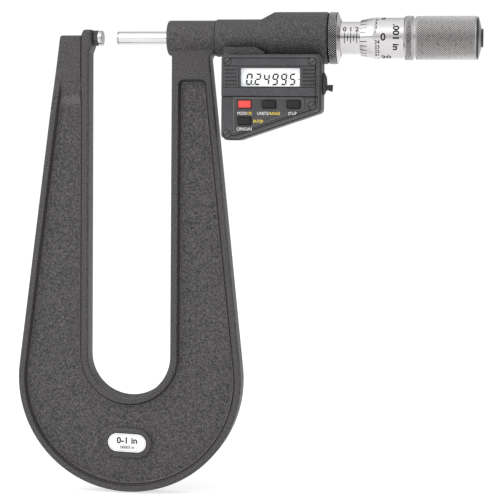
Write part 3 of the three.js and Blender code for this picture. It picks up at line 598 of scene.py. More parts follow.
def crackle_finish(name, colour, coarse, fine, thin=0.0):
    """Wrinkled enamel.

    Coarse on the sunk web, finer on the faces that stand out; the thin argument sets a painted highlight line
    at the height of the bead between.
    """
    made = Finish(name, colour, 0.5, 0.0, 0.4)
    big = made.noise(coarse, 3.0, roughness=0.6)
    small = made.noise(fine, 3.0, roughness=0.6)
    split = made.tree.nodes.new("ShaderNodeSeparateXYZ")
    made.link(made.where, split.inputs[0])
    proud = made.ranged(made.math("ABSOLUTE", split.outputs["Y"]), 3.4 * MM, 4.7 * MM, 0.0, 1.0)
    sunk = made.math("SUBTRACT", 1.0, proud)
    height = made.math("ADD", made.math("MULTIPLY", big, sunk), made.math("MULTIPLY", small, proud))
    # painted highlight: a light line in the colour where the surface passes the bead's height, as strong as
    # thin
    crest = made.ranged(made.math("ABSOLUTE", split.outputs["Y"]), 2.72 * MM, 2.92 * MM, 0.0, thin)
    fall = made.ranged(made.math("ABSOLUTE", split.outputs["Y"]), 3.05 * MM, 3.25 * MM, 0.0, thin)
    bead_painted_highlight = made.math("SUBTRACT", crest, fall)
    made.shade(made.math("ADD", height, bead_painted_highlight), 0.38, 0.68, 0.30, 2.3)
    made.roughen(height, 0.3, 0.7, -0.08)
    made.bump(height, 1.0, 0.22)
    return made.material


def knurl_finish(name, colour, foot, top, dark):
    """Tooth tops at full colour over grooves darkened towards the foot, by distance from the X axis: painted
    shade in the grooves.
    """
    made = Finish(name, colour, 0.3, 1.0, 0.5)
    split = made.tree.nodes.new("ShaderNodeSeparateXYZ")
    made.link(made.where, split.inputs[0])
    squares = [made.math("MULTIPLY", split.outputs[axis], split.outputs[axis]) for axis in "YZ"]
    radius = made.math("SQRT", made.math("ADD", *squares))
    wear = made.noise(900, 3.0)
    # painted shade: colour falls from the full base on the tooth tops to its dark share at the groove floors
    made.shade(radius, foot * MM, top * MM, dark, 1.0)
    made.roughen(wear, 0.3, 0.7, 0.05)
    return made.material


def turned_steel(name, colour, rough, rings, bump, specular=0.5):
    """Steel with fine turning lines round the X axis."""
    made = Finish(name, colour, rough, 1.0, specular)
    lines = made.noise(rings, 3.0, (1.0, 0.02, 0.02))
    smear = made.noise(90, 4.0)
    tone = made.math("ADD", made.math("MULTIPLY", lines, 0.5), made.math("MULTIPLY", smear, 0.5))
    made.shade(tone, 0.3, 0.7, 0.9, 1.06)
    grain = made.math("ADD", made.math("MULTIPLY", lines, 0.6), made.math("MULTIPLY", smear, 0.4))
    made.roughen(grain, 0.3, 0.7, 0.07)
    made.bump(lines, 0.35, bump)
    return made.material


# the last argument paints a highlight line along the pocket bead
CRACKLE = crackle_finish("crackle_enamel", (0.048, 0.0445, 0.0475), 1750, 2000, 0.12)
HEAD_PAINT = crackle_finish("barrel_enamel", (0.046, 0.043, 0.046), 1900, 2100)
MOULDING = plain_finish("moulded_charcoal", (0.056, 0.053, 0.057), 0.5, 1500, 0.08, specular=0.4, vary=0.4)
PANEL_SKIN = plain_finish("panel_skin", (0.050, 0.048, 0.051), 0.5, 1700, 0.05, specular=0.4, vary=0.3)
RUBBER = plain_finish("plug_rubber", (0.045, 0.044, 0.046), 0.7, 1500, 0.06, specular=0.35)
SATIN = turned_steel("satin_chrome", (0.62, 0.605, 0.605), 0.28, 9000, 0.01)
# each knurl finish paints shade into its grooves
BRIGHT_KNURL = knurl_finish("bright_knurl", (0.88, 0.865, 0.865), 8.92, 9.17, 0.10)
BAND_KNURL = knurl_finish("thimble_band_knurl", (0.80, 0.785, 0.785), 9.02, 9.27, 0.06)
DARK_KNURL = knurl_finish("worn_black_knurl", (0.60, 0.59, 0.59), 10.6, 10.84, 0.02)
POLISHED = turned_steel("ground_steel", (0.66, 0.655, 0.66), 0.11, 12000, 0.004)
CARBIDE = turned_steel("lapped_carbide", (0.46, 0.46, 0.47), 0.22, 8000, 0.004)
DARK_STEEL = turned_steel("blackened_steel", (0.085, 0.082, 0.086), 0.36, 6000, 0.01)
SCREW_STEEL = turned_steel("black_oxide_screw", (0.11, 0.107, 0.11), 0.42, 5000, 0.01)
CAP_STEEL = turned_steel("grey_turned_steel", (0.34, 0.335, 0.34), 0.34, 7000, 0.01)
PLATE = plain_finish(
    "etched_plate", (0.90, 0.885, 0.885), 0.4, 1800, 0.01, metallic=0.2, vary=0.03, stretch=(0.1, 1, 1)
)
BLACK = plain_finish("black_moulding", (0.012, 0.012, 0.013), 0.4, 1800, 0.03)
BRONZE = turned_steel("turned_bronze", (0.42, 0.27, 0.12), 0.35, 6000, 0.01)
BOARD = plain_finish("board_green", (0.02, 0.12, 0.05), 0.5, 900, 0.02)
LCD_BACK = plain_finish("display_grey", (0.93, 0.95, 0.96), 0.6, 2500, 0.004, specular=0.2, vary=0.02)
LCD_INK = plain_finish("display_segments", (0.008, 0.008, 0.010), 0.7, 2500, 0.004, specular=0.1)
RED = plain_finish("red_key_rubber", (0.74, 0.075, 0.070), 0.55, 2200, 0.02, specular=0.3, vary=0.08)
KEY = plain_finish("dark_key_rubber", (0.013, 0.012, 0.014), 0.6, 2200, 0.02, specular=0.3)
BLACK_INK = plain_finish("engraving_ink", (0.010, 0.010, 0.011), 0.75, 3000, 0.004, specular=0.08)
WHITE_INK = plain_finish("white_print", (0.85, 0.85, 0.85), 0.5, 3000, 0.01, vary=0.05)
YELLOW_INK = plain_finish("yellow_print", (0.90, 0.66, 0.07), 0.5, 3000, 0.01, vary=0.05)
# painted highlight for the keypad panel's edge
PANEL_EDGE_HIGHLIGHT = plain_finish("grey_print", (0.17, 0.165, 0.17), 0.5, 3000, 0.01, vary=0.05)

# painted light: the display's grey is given a faint glow to read brighter; it is no lamp
display_painted_glow = LCD_BACK.node_tree.nodes["Principled BSDF"].inputs
display_painted_glow["Emission Color"].default_value = (0.95, 0.98, 1.0, 1.0)
display_painted_glow["Emission Strength"].default_value = 0.35


def clear_window():
    made = Finish("clear_window", (0.93, 0.96, 0.97), 0.07)
    wear = made.noise(400, 4.0)
    made.shade(wear, 0.3, 0.7, 0.96, 1.0)
    made.roughen(wear, 0.3, 0.7, 0.03)
    made.bump(wear, 0.2, 0.004)
    made.shader.inputs["Alpha"].default_value = 0.03
    return made.material


WINDOW = clear_window()
RINGS = ring_tree()
ROW = row_tree()


# ---------------------------------------------------------------- cast frame
def frame_outline():
    left = tangent_angle(*ARM_LEFT, 1)
    right = 2 * math.pi + tangent_angle(*ARM_RIGHT, -1)
    bend = arc(THROAT_X, OUTER_Z, OUTER_R, left, right, 90)
    throat = arc(THROAT_X, THROAT_Z, THROAT_R, 0, -math.pi, 48)
    return eased(
        [
            (*ARM_LEFT, 1.2),
            *bend,
            (*ARM_RIGHT, 1.5),
            (HUB_X1 - 0.3, -HUB_R + 1.6),
            (HUB_X1 - 0.3, -4.7),
            (HUB_X0 + 0.6, -4.7),
            (HUB_X0 + 0.6, -HUB_R + 1.9),
            (THROAT_X + THROAT_R, -HUB_R - 0.6, 1.2),
            *throat,
            (THROAT_X - THROAT_R, -BOSS_R - 3.0, 2.0),
            (BOSS_X1, -BOSS_R, 0.4),
            (BOSS_X1, BOSS_R - 0.1, 0.4),
            (BOSS_X0, BOSS_R - 0.1, 1.5),
            (BOSS_X0 - 0.8, ARM_LEFT[1], 0.6),
        ]
    )


def web_outline():
    outer = OUTER_R - RIM_OUT - POCKET_RUN
    inner = THROAT_R + RIM_IN + POCKET_RUN
    left = tangent_angle(*ARM_LEFT, 1)
    right = 2 * math.pi + tangent_angle(*ARM_RIGHT, -1)

    def edge_x(angle, z):
        start = (THROAT_X + outer * math.cos(angle), OUTER_Z + outer * math.sin(angle))
        return start[0] - (z - start[1]) * math.tan(angle)

    return eased(
        [
            (edge_x(left, 6.0), 6.0),
            *arc(THROAT_X, OUTER_Z, outer, left, right, 90),
            (edge_x(right, POCKET_TOP_RIGHT), POCKET_TOP_RIGHT, 0.3),
            (THROAT_X + inner, POCKET_TOP_RIGHT, 0.3),
            *arc(THROAT_X, THROAT_Z, inner, 0, -math.pi, 48),
            (THROAT_X - inner, 6.0),
        ]
    )


def slot_depth(points, reach, radius):
    """How far inside a slot shape on the land each point is."""
    c, s = math.cos(-LAND_TILT), math.sin(-LAND_TILT)
    dx, dz = points[:, 0] - LAND[0], points[:, 1] - LAND[1]
    u, v = dx * c - dz * s, dx * s + dz * c
    return radius - np.hypot(u - np.clip(u, -reach, reach), v)


def tilted(outline):
    """An outline on the land, turned with it."""
    c, s = math.cos(LAND_TILT), math.sin(LAND_TILT)
    out = []
    for x, z in outline:
        dx, dz = x - LAND[0], z - LAND[1]
        out.append((LAND[0] + dx * c - dz * s, LAND[1] + dx * s + dz * c))
    return out


def left_arm_fade(x, z):
    """1 at the top of the left arm, where the outer rim runs out, 0 lower down and on the right."""
    return np.where(x < THROAT_X, eased_step(z, -33.0, -13.0), 0.0)


def face_heights(points, outline, web, front):
    """Half thickness of the casting over each point."""
    x, z = points[:, 0], points[:, 1]
    rim = np.full(len(points), HALF_T)
    fade = left_arm_fade(x, z)
    rim -= PAD_DROP * fade * eased_step(RIDGE_X - x, 0.0, 0.5)
    hub = (x > HUB_X0) & (z > -HUB_R) & (x < HUB_X1 + 0.5)
    centre_y = HALF_T + HUB_FILLET
    centre_z = -math.sqrt((HUB_R + HUB_FILLET) ** 2 - centre_y**2)
    touch_z = centre_z * HUB_R / (HUB_R + HUB_FILLET)
    swell = centre_y - np.sqrt(np.clip(HUB_FILLET**2 - (z - centre_z) ** 2, 0.01, None))
    round_hub = np.sqrt(np.clip(HUB_R**2 - z**2, 0, None)) - 0.12
    rim = np.where(hub & (z > centre_z) & (z <= touch_z), swell, rim)
    rim = np.where(hub & (z > touch_z), round_hub, rim)
    edge = np.clip(depth_in(points, outline), 0, EDGE_R)
    rim -= EDGE_R - np.sqrt(EDGE_R**2 - (EDGE_R - edge) ** 2)
    inside = depth_in(points, web)
    sunk = eased_step(inside, -2.1, -1.45)
    bead = eased_step(inside, -1.45, -1.15) * (1 - eased_step(inside, -1.1, -0.7))
    boss = (z > ARM_LEFT[1] - 0.6) | (x > -THROAT_LEFT - 0.3) & (z > -6.0)
    sunk = np.where((x < THROAT_X) & boss, 0.0, sunk)
    depth = POCKET_DEPTH + (PAD_DROP - POCKET_DEPTH) * fade
    depth = np.where(x < RIDGE_X - 0.3, depth - PAD_DROP * fade * eased_step(RIDGE_X - x, 0.0, 0.5), depth)
    height = rim - depth * sunk + 0.38 * bead * (depth > 1.0) * (sunk > 0)
    if front:
        land = slot_depth(points, LAND_REACH, LAND_R)
        height += (LAND_FACE - height) * eased_step(land, -0.55, 0.3)
        seat = slot_depth(points, SEAT_REACH, SEAT_R)
        height += (SEAT_FLOOR - height) * eased_step(seat, -0.08, 0.08)
    return height


def rings_beside(outline, amounts, slack=0.08):
    """Points beside an outline, at several distances inside it."""
    rings = []
    for amount in amounts:
        ring = inset(outline, amount)
        rings.append(ring[np.abs(depth_in(ring, outline) - amount) < slack])
    return rings


def relief(rim, layers, holes, front, back, spacing, creases=()):
    """A closed skin over an outline, with points and crease lines where asked for and even points between."""
    loops = [rim] + holes
    placed = np.concatenate(layers)
    keep = depth_in(placed, rim) > 0.05
    for hole in holes:
        keep &= depth_in(placed, hole) < -0.03
    placed = placed[keep]
    folds, crossed = [], []
    for crease in creases:
        clear = depth_in(crease, rim) > 0.05
        for hole in holes:
            clear &= depth_in(crease, hole) < -0.03
        folds.append(crease[clear])
        crossed.append(clear)
    fixed = np.concatenate([placed] + loops + folds)
    near = KDTree(len(fixed))
    for i, p in enumerate(fixed):
        near.insert((p[0], p[1], 0), i)
    near.balance()
    fill = []
    low, high = rim.min(0), rim.max(0)
    for j, z in enumerate(np.arange(low[1], high[1], spacing * 0.866)):
        for x in np.arange(low[0] + (j % 2) * spacing / 2, high[0], spacing):
            if near.find((x, z, 0))[2] > 0.5 * spacing:
                fill.append((x, z))
    fill = np.array(fill)
    fill = fill[depth_in(fill, rim) > 0.3]
    border, start = [], 0
    for loop in loops:
        count = len(loop)
        border += [(start + i, start + (i + 1) % count) for i in range(count)]
        start += count
    for fold, clear in zip(folds, crossed):
        number = np.cumsum(clear) - 1 + start
        count = len(clear)
        border += [
            (int(number[i]), int(number[(i + 1) % count]))
            for i in range(count)
            if clear[i] and clear[(i + 1) % count]
        ]
        start += len(fold)
    flat = np.concatenate(loops + folds + [placed, fill])
    points, _, triangles, *_ = delaunay_2d_cdt([Vector(p) for p in flat], border, [], 0, 1e-5, False)
    points = np.array([tuple(p) for p in points])
    triangles = np.array(triangles)
    middles = points[triangles].mean(1)
    keep = depth_in(middles, rim) > 0
    for hole in holes:
        keep &= depth_in(middles, hole) < 0
    run = points[triangles[:, 1]] - points[triangles[:, 0]]
    rise = points[triangles[:, 2]] - points[triangles[:, 0]]
    turn = run[:, 0] * rise[:, 1] - run[:, 1] * rise[:, 0]
    triangles = np.where(turn[:, None] > 0, triangles, triangles[:, ::-1])[keep & (np.abs(turn) > 1e-9)]
    used, flat_index = np.unique(triangles, return_inverse=True)
    points = points[used]
    faces = [list(map(int, t)) for t in flat_index.reshape(-1, 3)]
    n = len(points)
    solid = [(p[0], y, p[1]) for p, y in zip(points, front(points))]
    solid += [(p[0], y, p[1]) for p, y in zip(points, back(points))]
    edges = {(t[i], t[(i + 1) % 3]) for t in faces for i in range(3)}
    open_edges = sorted((i, j) for i, j in edges if (j, i) not in edges)
    skin = faces + [[n + i for i in reversed(t)] for t in faces]
    skin += [[j, i, n + i, n + j] for i, j in open_edges]
    return solid, outward(solid, skin)


def casting():
    """The U-shaped casting as one closed skin with soft edges."""
    rim = paced([tuple(p) for p in frame_outline()], 0.8)
    web = paced([tuple(p) for p in web_outline()], 0.8)
    layers = rings_beside(rim, (0.1, 0.26, 0.5, 0.8, 1.25), 0.06)
    layers += rings_beside(web, (-2.35, -2.12, -1.95, -1.75, -1.6, -1.45, -1.3, -1.13, -0.95, -0.7, -0.2))
    for reach, radius, amounts in (
        (LAND_REACH, LAND_R, (-0.6, -0.4, -0.15, 0.1, 0.35)),
        (SEAT_REACH, SEAT_R, (-0.3, -0.09, 0.0, 0.09, 0.4)),
    ):
        for amount in amounts:
            layers.append(np.array(tilted(paced(capsule(*LAND, reach, radius - amount), 0.55))))
    for z in np.linspace(-6.3, -4.95, 8):
        layers.append(np.stack([np.linspace(HUB_X0 + 1.6, HUB_X1 - 1.3, 26), np.full(26, z)], axis=1))
    for z in (-0.15, 0.2, 0.5, 0.8):
        layers.append(np.stack([np.linspace(-17.0, -6.0, 20), np.full(20, z)], axis=1))
    return relief(
        rim,
        layers,
        [],
        lambda p: -face_heights(p, rim, web, True),
        lambda p: face_heights(p, rim, web, False),
        1.15,
    )


hub = turned(
    [
        (HUB_X0, 4.45, 0.1),
        (HUB_X0, HUB_R, 0.9),
        (HUB_X1, HUB_R, 0.3),
        (HUB_X1, 4.45, 0.1),
    ]
)
put("cast_frame", [casting(), hub], CRACKLE, "body", ("frame",), 50.0)

plate_rim = tilted(capsule(*LAND, PLATE_REACH, PLATE_R, 24))
plate_parts = [prism(plate_rim, -PLATE_FACE, -PLATE_FACE + 0.55)]
put("name_plate_face", plate_parts, PLATE, "body", ("name_plate",))
inner_rim = tilted(capsule(*LAND, PLATE_REACH, PLATE_R - 0.42, 24))
PLATE_PRINT = (-PLATE_FACE - 0.02, -PLATE_FACE + 0.05)
plate_marks = [
    band(inner_rim, 0.1, *PLATE_PRINT),
    lettering("0-1 in", 2.6, LAND[0], LAND[1] - 0.2, *PLATE_PRINT, middle=True, width=9.0, bold=0.03),
    lettering(".00005 in", 1.25, LAND[0], LAND[1] - 2.5, *PLATE_PRINT, middle=True, width=6.4, bold=0.02),
]
put("name_plate_marks", plate_marks, BLACK_INK, "body")

# ---------------------------------------------------------------- anvil and spindle
put(
    "anvil_collar_ring",
    [turned([(-4.05, 2.5), (-4.05, 3.28, 0.5), (-1.95, 3.28, 0.4), (-1.95, 2.5)])],
    HEAD_PAINT,
    "body",
    ("anvil_collar",),
)
put(
    "anvil_body",
    [turned([(-8.6, 0), (-8.6, 2.2), (-1.9, 2.2), (-1.9, 3.15, 0.2), (-0.83, 3.15, 0.05), (-0.83, 0)])],
    POLISHED,
    "body",
    ("anvil",),
)
put(
    "anvil_hard_face",
    [turned([(-0.8, 0), (-0.8, 3.15, 0.05), (0, 3.15, 0.3), (0, 0)])],
    CARBIDE,
    "body",
    ("anvil_tip",),
)
put(
    "spindle_bushing",
    [turned([(28.4, 2.95, 0.1), (28.4, 4.15, 0.2), (48.9, 4.15), (48.9, 2.95)])],
    BRONZE,
    "body",
    ("front_bushing",),
)
put(
    "spindle_rod",
    [
        turned(
            [
                (7.18, 0),
                (7.18, 2.75, 0.06),
                (105.35, 2.75),
                (105.65, 3.0),
                (140.15, 3.0),
                (140.15, 2.5),
                (145.95, 2.5),
                (145.95, 0),
            ]
        )
    ],
    POLISHED,
    "spindle_group",
    ("spindle",),
)
put(
    "spindle_hard_face",
    [turned([(6.37, 0), (6.37, 2.75, 0.25), (7.15, 2.75, 0.05), (7.15, 0)])],
    CARBIDE,
    "spindle_group",
    ("spindle_tip",),
)

# ---------------------------------------------------------------- head barrel
saddle = eased([(53.5, -7.1, 0.4), (71.9, -7.1, 0.4), (66.7, -4.3, 0.8), (53.5, -4.3, 0.6)])
barrel = turned(
    [
        (49.0, 3.55),
        (49.0, 7.85, 0.45),
        (68.0, 7.85, 3.0),
        (73.7, 10.87, 1.6),
        (96.4, 10.87, 0.7),
        (96.4, 9.07),
        (74.7, 9.07),
        (74.7, 3.55),
    ]
)
put("barrel_shell", [barrel, prism(saddle, -10.5, 4.7)], HEAD_PAINT, "body", ("head_barrel",))

# ---------------------------------------------------------------- knurls
def knurl_tooth(radius):
    """One diamond of a knurl, at the front of a cylinder of this radius."""
    half = KNURL_PITCH / 2
    foot = radius - KNURL_DEPTH
    top = 0.34
    base = [(half, 0), (0, half), (-half, 0), (0, -half)]
    points = [(x, -(foot - 0.06), z) for x, z in base]
    points += [(x, -foot, z) for x, z in base]
    points += [(x * top, -radius, z * top) for x, z in base]
    faces = [[0, 1, 2, 3], [8, 9, 10, 11]]
    for start in (0, 4):
        faces += [[start + i, start + (i + 1) % 4, start + 4 + (i + 1) % 4, start + 4 + i] for i in range(4)]
    work = bmesh.new()
    corners = [work.verts.new(p) for p in points]
    for f in faces:
        work.faces.new([corners[i] for i in f])
    bmesh.ops.recalc_face_normals(work, faces=work.faces)
    work.verts.index_update()
    out = [[v.index for v in f.verts] for f in work.faces]
    work.free()
    return points, outward(points, out)


def knurl(name, radius, x0, x1, finish, body):
    """A piece of staggered rings of diamonds between two places along the axis."""
    half = KNURL_PITCH / 2
    rings = int((x1 - x0 - 2 * half) / half) + 1
    first = (x0 + x1) / 2 - half * (rings - 1) / 2
    mesh = repeated(
        name,
        RINGS,
        [knurl_tooth(radius)],
        Around=round(2 * math.pi * radius / KNURL_PITCH),
        Rings=rings,
        First_Ring=first * MM,
        Ring_Pitch=half * MM,
        Stagger=0.5,
        Material=finish,
    )
    return settle(name, mesh, finish, body, (), 20.0)


foot = 10.87 - KNURL_DEPTH
put(
    "lock_ring_core",
    [
        turned(
            [
                (96.62, 7.0),
                (96.62, 10.2, 0.2),
                (97.1, 10.7, 0.1),
                (97.25, foot),
                (100.1, foot),
                (100.3, 10.7, 0.1),
                (101.0, 9.0, 0.1),
                (101.6, 7.9, 0.1),
                (101.6, 7.0),
            ]
        )
    ],
    DARK_STEEL,
    "lock_ring",
    ("lock_ring",),
)
knurl("lock_ring_knurl", 10.87, 96.75, 100.35, DARK_KNURL, "lock_ring")
put(
    "lock_ring_bevel",
    [
        turned(
            [
                (100.32, 9.9),
                (100.36, 10.82, 0.05),
                (101.05, 9.05, 0.1),
                (101.64, 7.9, 0.1),
                (101.64, 7.4),
                (101.2, 7.4),
            ]
        )
    ],
    SATIN,
    "lock_ring",
)

# ---------------------------------------------------------------- sleeve
put(
    "graduated_sleeve",
    [
        turned(
            [
                (91.2, 5.9),
                (130.9, 5.9),
                (130.9, 6.8, 0.2),
                (96.3, 6.8),
                (96.3, 8.77),
                (91.2, 8.77),
            ]
        )
    ],
    SATIN,
    "body",
    ("sleeve",),
)


def flat_line(x0, x1, z0, z1, pieces=8):
    """A thin engraved line as a raised strip, cut up so that it can be wound round."""
    points, faces = [], []
    for k in range(pieces + 1):
        z = z0 + (z1 - z0) * k / pieces
        points += [(x0, -0.02, z), (x1, -0.02, z), (x1, 0.05, z), (x0, 0.05, z)]
    for k in range(pieces):
        i, j = 4 * k, 4 * k + 4
        faces += [[i + m, i + (m + 1) % 4, j + (m + 1) % 4, j + m] for m in range(4)]
    faces += [[0, 3, 2, 1], [4 * pieces + m for m in range(4)]]
    return points, outward(points, faces)


LINE = 0.32
long_tick = wrapped(flat_line(ZERO_X - LINE / 2, ZERO_X + LINE / 2, -2.47, 1.83), SLEEVE_R)
short_tick = wrapped(flat_line(ZERO_X + 1.27 - LINE / 2, ZERO_X + 1.27 + LINE / 2, -1.65, 1.1), SLEEVE_R)
sleeve_marks = [
    repeated("sleeve_long_lines", ROW, [long_tick], Count=11, Step=(TENTH * MM, 0, 0), Material=BLACK_INK),
    repeated("sleeve_short_lines", ROW, [short_tick], Count=10, Step=(TENTH * MM, 0, 0), Material=BLACK_INK),
    assembled("index_line", [wrapped(flat_line(101.7, 130.0, -LINE / 2, LINE / 2, 2), SLEEVE_R)]),
]
numerals = []
for tenth in range(11):
    at = ZERO_X + TENTH * tenth
    number = lettering(str(tenth % 10), 2.05, at, 2.42, *INK, middle=True, bold=0.025)
    numerals.append(wrapped(number, SLEEVE_R))
sleeve_marks.append(assembled("sleeve_numerals", numerals))
settle("sleeve_marks", joined("sleeve_marks", sleeve_marks), BLACK_INK, "body")

# ---------------------------------------------------------------- thimble
band_foot = 9.3 - KNURL_DEPTH
put(
    "thimble_body",
    [
        turned(
            [
                (EDGE_X, 7.1),
                (140.55, 7.1),
                (140.55, 2.85),
                (146.55, 2.85),
                (146.55, 7.9, 0.3),
                (132.05, 7.9),
                (132.05, 8.6, 0.15),
                (131.6, 9.15, 0.1),
                (131.45, band_foot),
                (128.6, band_foot),
                (128.45, 9.15, 0.1),
                (128.0, 8.6, 0.15),
                (127.9, THIMBLE_R, 0.1),
                (BEVEL_END, THIMBLE_R, 0.3),
                (EDGE_X, THIMBLE_EDGE_R, 0.06),
            ]
        )
    ],
    SATIN,
    "spindle_group",
    ("thimble",),
)
knurl("thimble_knurl", 9.3, 128.3, 131.75, BAND_KNURL, "spindle_group")


def bevel_line(x1):
    """A graduation on the thimble's bevel, at the front."""
    slope = (THIMBLE_R - THIMBLE_EDGE_R) / (BEVEL_END - EDGE_X)
    x0 = EDGE_X + 0.05
    points = []
    for x in (x0, x1):
        r = THIMBLE_EDGE_R + (x - EDGE_X) * slope
        corners = ((0.02, -LINE / 2), (0.02, LINE / 2), (-0.05, LINE / 2), (-0.05, -LINE / 2))
        points += [(x, -(r + up), z) for up, z in corners]
    faces = [[m, (m + 1) % 4, 4 + (m + 1) % 4, 4 + m] for m in range(4)] + [[3, 2, 1, 0], [4, 5, 6, 7]]
    return points, outward(points, faces)


thimble_marks = [
    repeated("thimble_lines", RINGS, [bevel_line(112.7)], Around=DIVISIONS, Rings=1, Material=BLACK_INK),
    assembled("thimble_zero_line", [bevel_line(115.0)]),
]
numerals = []
for line in range(DIVISIONS):
    along = 2 * math.pi * THIMBLE_R * line / DIVISIONS
    if line > DIVISIONS / 2:
        along -= 2 * math.pi * THIMBLE_R
    if line % 5:
        number = lettering(str(line), 1.5, 116.0, along - 0.75, *INK, bold=0.025)
    else:
        number = lettering(str(line), 3.0, 118.45, along - 1.5, *INK, bold=0.025)
    numerals.append(wrapped(number, THIMBLE_R))
value = lettering(".001 in", 2.5, 123.6, 5.8, *INK, across=True, width=11.6, bold=0.03)
numerals.append(wrapped(value, THIMBLE_R))
thimble_marks.append(assembled("thimble_numerals", numerals))
settle("thimble_marks", joined("thimble_marks", thimble_marks), BLACK_INK, "spindle_group")

# ---------------------------------------------------------------- friction thimble and end
friction_foot = 9.2 - KNURL_DEPTH
put(
    "friction_sleeve",
    [
        turned(
            [
                (132.6, 8.1),
                (157.7, 8.1),
                (157.7, 8.7, 0.1),
                (157.4, 9.1, 0.1),
                (157.2, friction_foot),
                (133.25, friction_foot),
                (133.05, 9.1, 0.1),
                (132.6, 8.6, 0.2),
            ]
        )
    ],
    SATIN,
    "friction_group",
    ("friction_thimble",),
)
knurl("friction_knurl", 9.2, 132.9, 157.5, BRIGHT_KNURL, "friction_group")
put(
    "end_cap_flange",
    [turned([(156.8, 4.4), (158.5, 4.4), (158.5, 8.75, 0.15), (157.8, 8.9, 0.1), (157.8, 7.8), (156.8, 7.8)])],
    BLACK,
    "friction_group",
)
put(
    "end_cap_cone",
    [
        turned(
            [
                (156.8, 4.15),
                (159.65, 4.15, 0.1),
                (159.65, 4.3, 0.05),
                (158.75, 7.9, 0.3),
                (158.3, 8.3, 0.1),
                (158.3, 4.35),
                (156.8, 4.35),
            ]
        )
    ],
    CAP_STEEL,
    "friction_group",
    ("end_cap",),
)
put(
    "end_button_disc",
    [turned([(156.8, 0), (156.8, 3.85), (160.5, 3.85, 0.3), (160.5, 0)])],
    BLACK,
    "friction_group",
    ("end_button",),
)

# ---------------------------------------------------------------- display housing
KEYS = {
    "shift": (63.7, -28.2),
    "units": (73.85, -28.2),
    "hold": (83.95, -28.2),
    "zero": (63.7, -35.1),
}
SCREWS = [(56.55, -10.75), (91.65, -10.75), (91.55, -28.7), (56.4, -40.4)]
SLANT = (-31.2 + 43.0) / (94.75 - 60.3)
SCORES = [
    ((54.9, 93.1, -12.74, -12.46), 0.35),
    ((54.9, 93.1, -21.44, -21.16), 0.35),
    ((61.1, 61.35, -21.1, -12.8), 0.35),
    ((54.9, 93.1, -21.3, -12.6), 0.12),
    ((53.0, 95.0, -25.25, -24.9), 0.8),
]
SCORES += [((55.65, 60.35, z - 0.3, z + 0.3), 0.5) for z in np.arange(-14.15, -20.3, -1.5)]
SCORES += [((87.7, 92.65, z - 0.3, z + 0.3), 0.5) for z in np.arange(-14.15, -20.3, -1.5)]


def boxed(x0, x1, z0, z1, grow=0.0):
    return [(x0 - grow, z0 - grow), (x1 + grow, z0 - grow), (x1 + grow, z1 + grow), (x0 - grow, z1 + grow)]


def box_depth(points, x0, x1, z0, z1):
    x, z = points[:, 0], points[:, 1]
    return np.minimum(np.minimum(x - x0, x1 - x), np.minimum(z - z0, z1 - z))


def cover_front(points, rim):
    """Front face of the cover: a proud upper part over the keypad's lower part."""
    x, z = points[:, 0], points[:, 1]
    inside = depth_in(points, rim)
    height = STEP_FRONT + (COVER_FRONT - STEP_FRONT) * eased_step(z, STEP_Z - 0.03, STEP_Z + 0.03)
    edge = np.clip(inside, 0, COVER_EDGE)
    edge = np.where(x < 54.9, COVER_EDGE - 0.25 * (COVER_EDGE - edge), edge)
    height -= COVER_EDGE - np.sqrt(COVER_EDGE**2 - (COVER_EDGE - edge) ** 2)
    seam = eased_step(inside, 1.0, 1.08) * (1 - eased_step(inside, 1.3, 1.38))
    height -= 0.6 * seam * (x > 55.6)
    for box, deep in SCORES:
        height -= deep * eased_step(box_depth(points, *box), -0.03, 0.03)
    for sx, sz in SCREWS:
        height += (RECESS_FLOOR - height) * (np.hypot(x - sx, z - sz) < RECESS_R)
    return height


def cover_back(points, rim):
    """Back of the cover: a wall round a hollow, and a post behind each screw."""
    x, z = points[:, 0], points[:, 1]
    back = np.where(depth_in(points, rim) < COVER_WALL, COVER_BACK, COVER_HOLLOW)
    for sx, sz in SCREWS:
        back = np.where(np.hypot(x - sx, z - sz) < POST_R, COVER_BACK, back)
    return back


def cover_moulding():
    """The front cover as one closed skin, with its window, keyholes and screw holes."""
    low = -42.25
    offset = 0.75 * math.hypot(1.0, SLANT)
    corners = [
        (53.98, low, 1.6),
        (60.17, low, 1.6),
        (94.0, -43.0 + (94.0 - 60.3) * SLANT + offset, 1.6),
        (94.0, -8.15, 1.6),
        (53.98, -8.15, 1.6),
    ]
    rim = paced([tuple(p) for p in eased(corners, 8)], 0.6)
    holes = [paced(boxed(*WINDOW_BOX), 0.8)]
    holes += [paced(boxed(x - 2.72, x + 2.72, z - 1.6, z + 1.6), 0.6) for x, z in KEYS.values()]
    holes += [np.array(arc(x, z, 1.1, 0, 2 * math.pi * 19 / 20, 19)) for x, z in SCREWS]
    layers = rings_beside(rim, (0.12, 0.3, 0.55, 0.9, 1.0, 1.08, 1.3, 1.38, 1.57, 1.63), 0.05)
    creases = [paced(boxed(*box, grow), 0.6) for box, _ in SCORES for grow in (-0.03, 0.03)]
    creases += [paced(boxed(54.1, 93.9, STEP_Z - up, -8.3), 0.6) for up in (-0.03, 0.03)]
    for x, z in SCREWS:
        for r in (RECESS_R - 0.03, RECESS_R + 0.03, POST_R - 0.03, POST_R + 0.03):
            creases.append(np.array(arc(x, z, r, 0, 2 * math.pi * 35 / 36, 35)))
    return relief(
        rim,
        layers,
        holes,
        lambda p: -cover_front(p, rim),
        lambda p: -cover_back(p, rim),
        1.3,
        creases,
    )


broken_edges("housing_shell", "rear_shell", 0.3, MOULDING, "body")
put("housing_cover", [cover_moulding()], MOULDING, "body", ("front_cover",), 35.0)
broken_edges("keypad_face", "keypad_panel", 0.05, PANEL_SKIN, "body")
broken_edges("display_window", "lcd_window", 0.05, WINDOW, "body")
broken_edges("battery_cover", "battery_cap", 0.15, MOULDING, "battery_cap")
broken_edges("data_plug", "port_plug", 0.2, RUBBER, "port_plug")
for number in range(1, 5):
    broken_edges(f"screw_{number}", f"cover_screw_{number}", 0.1, SCREW_STEEL, "body")

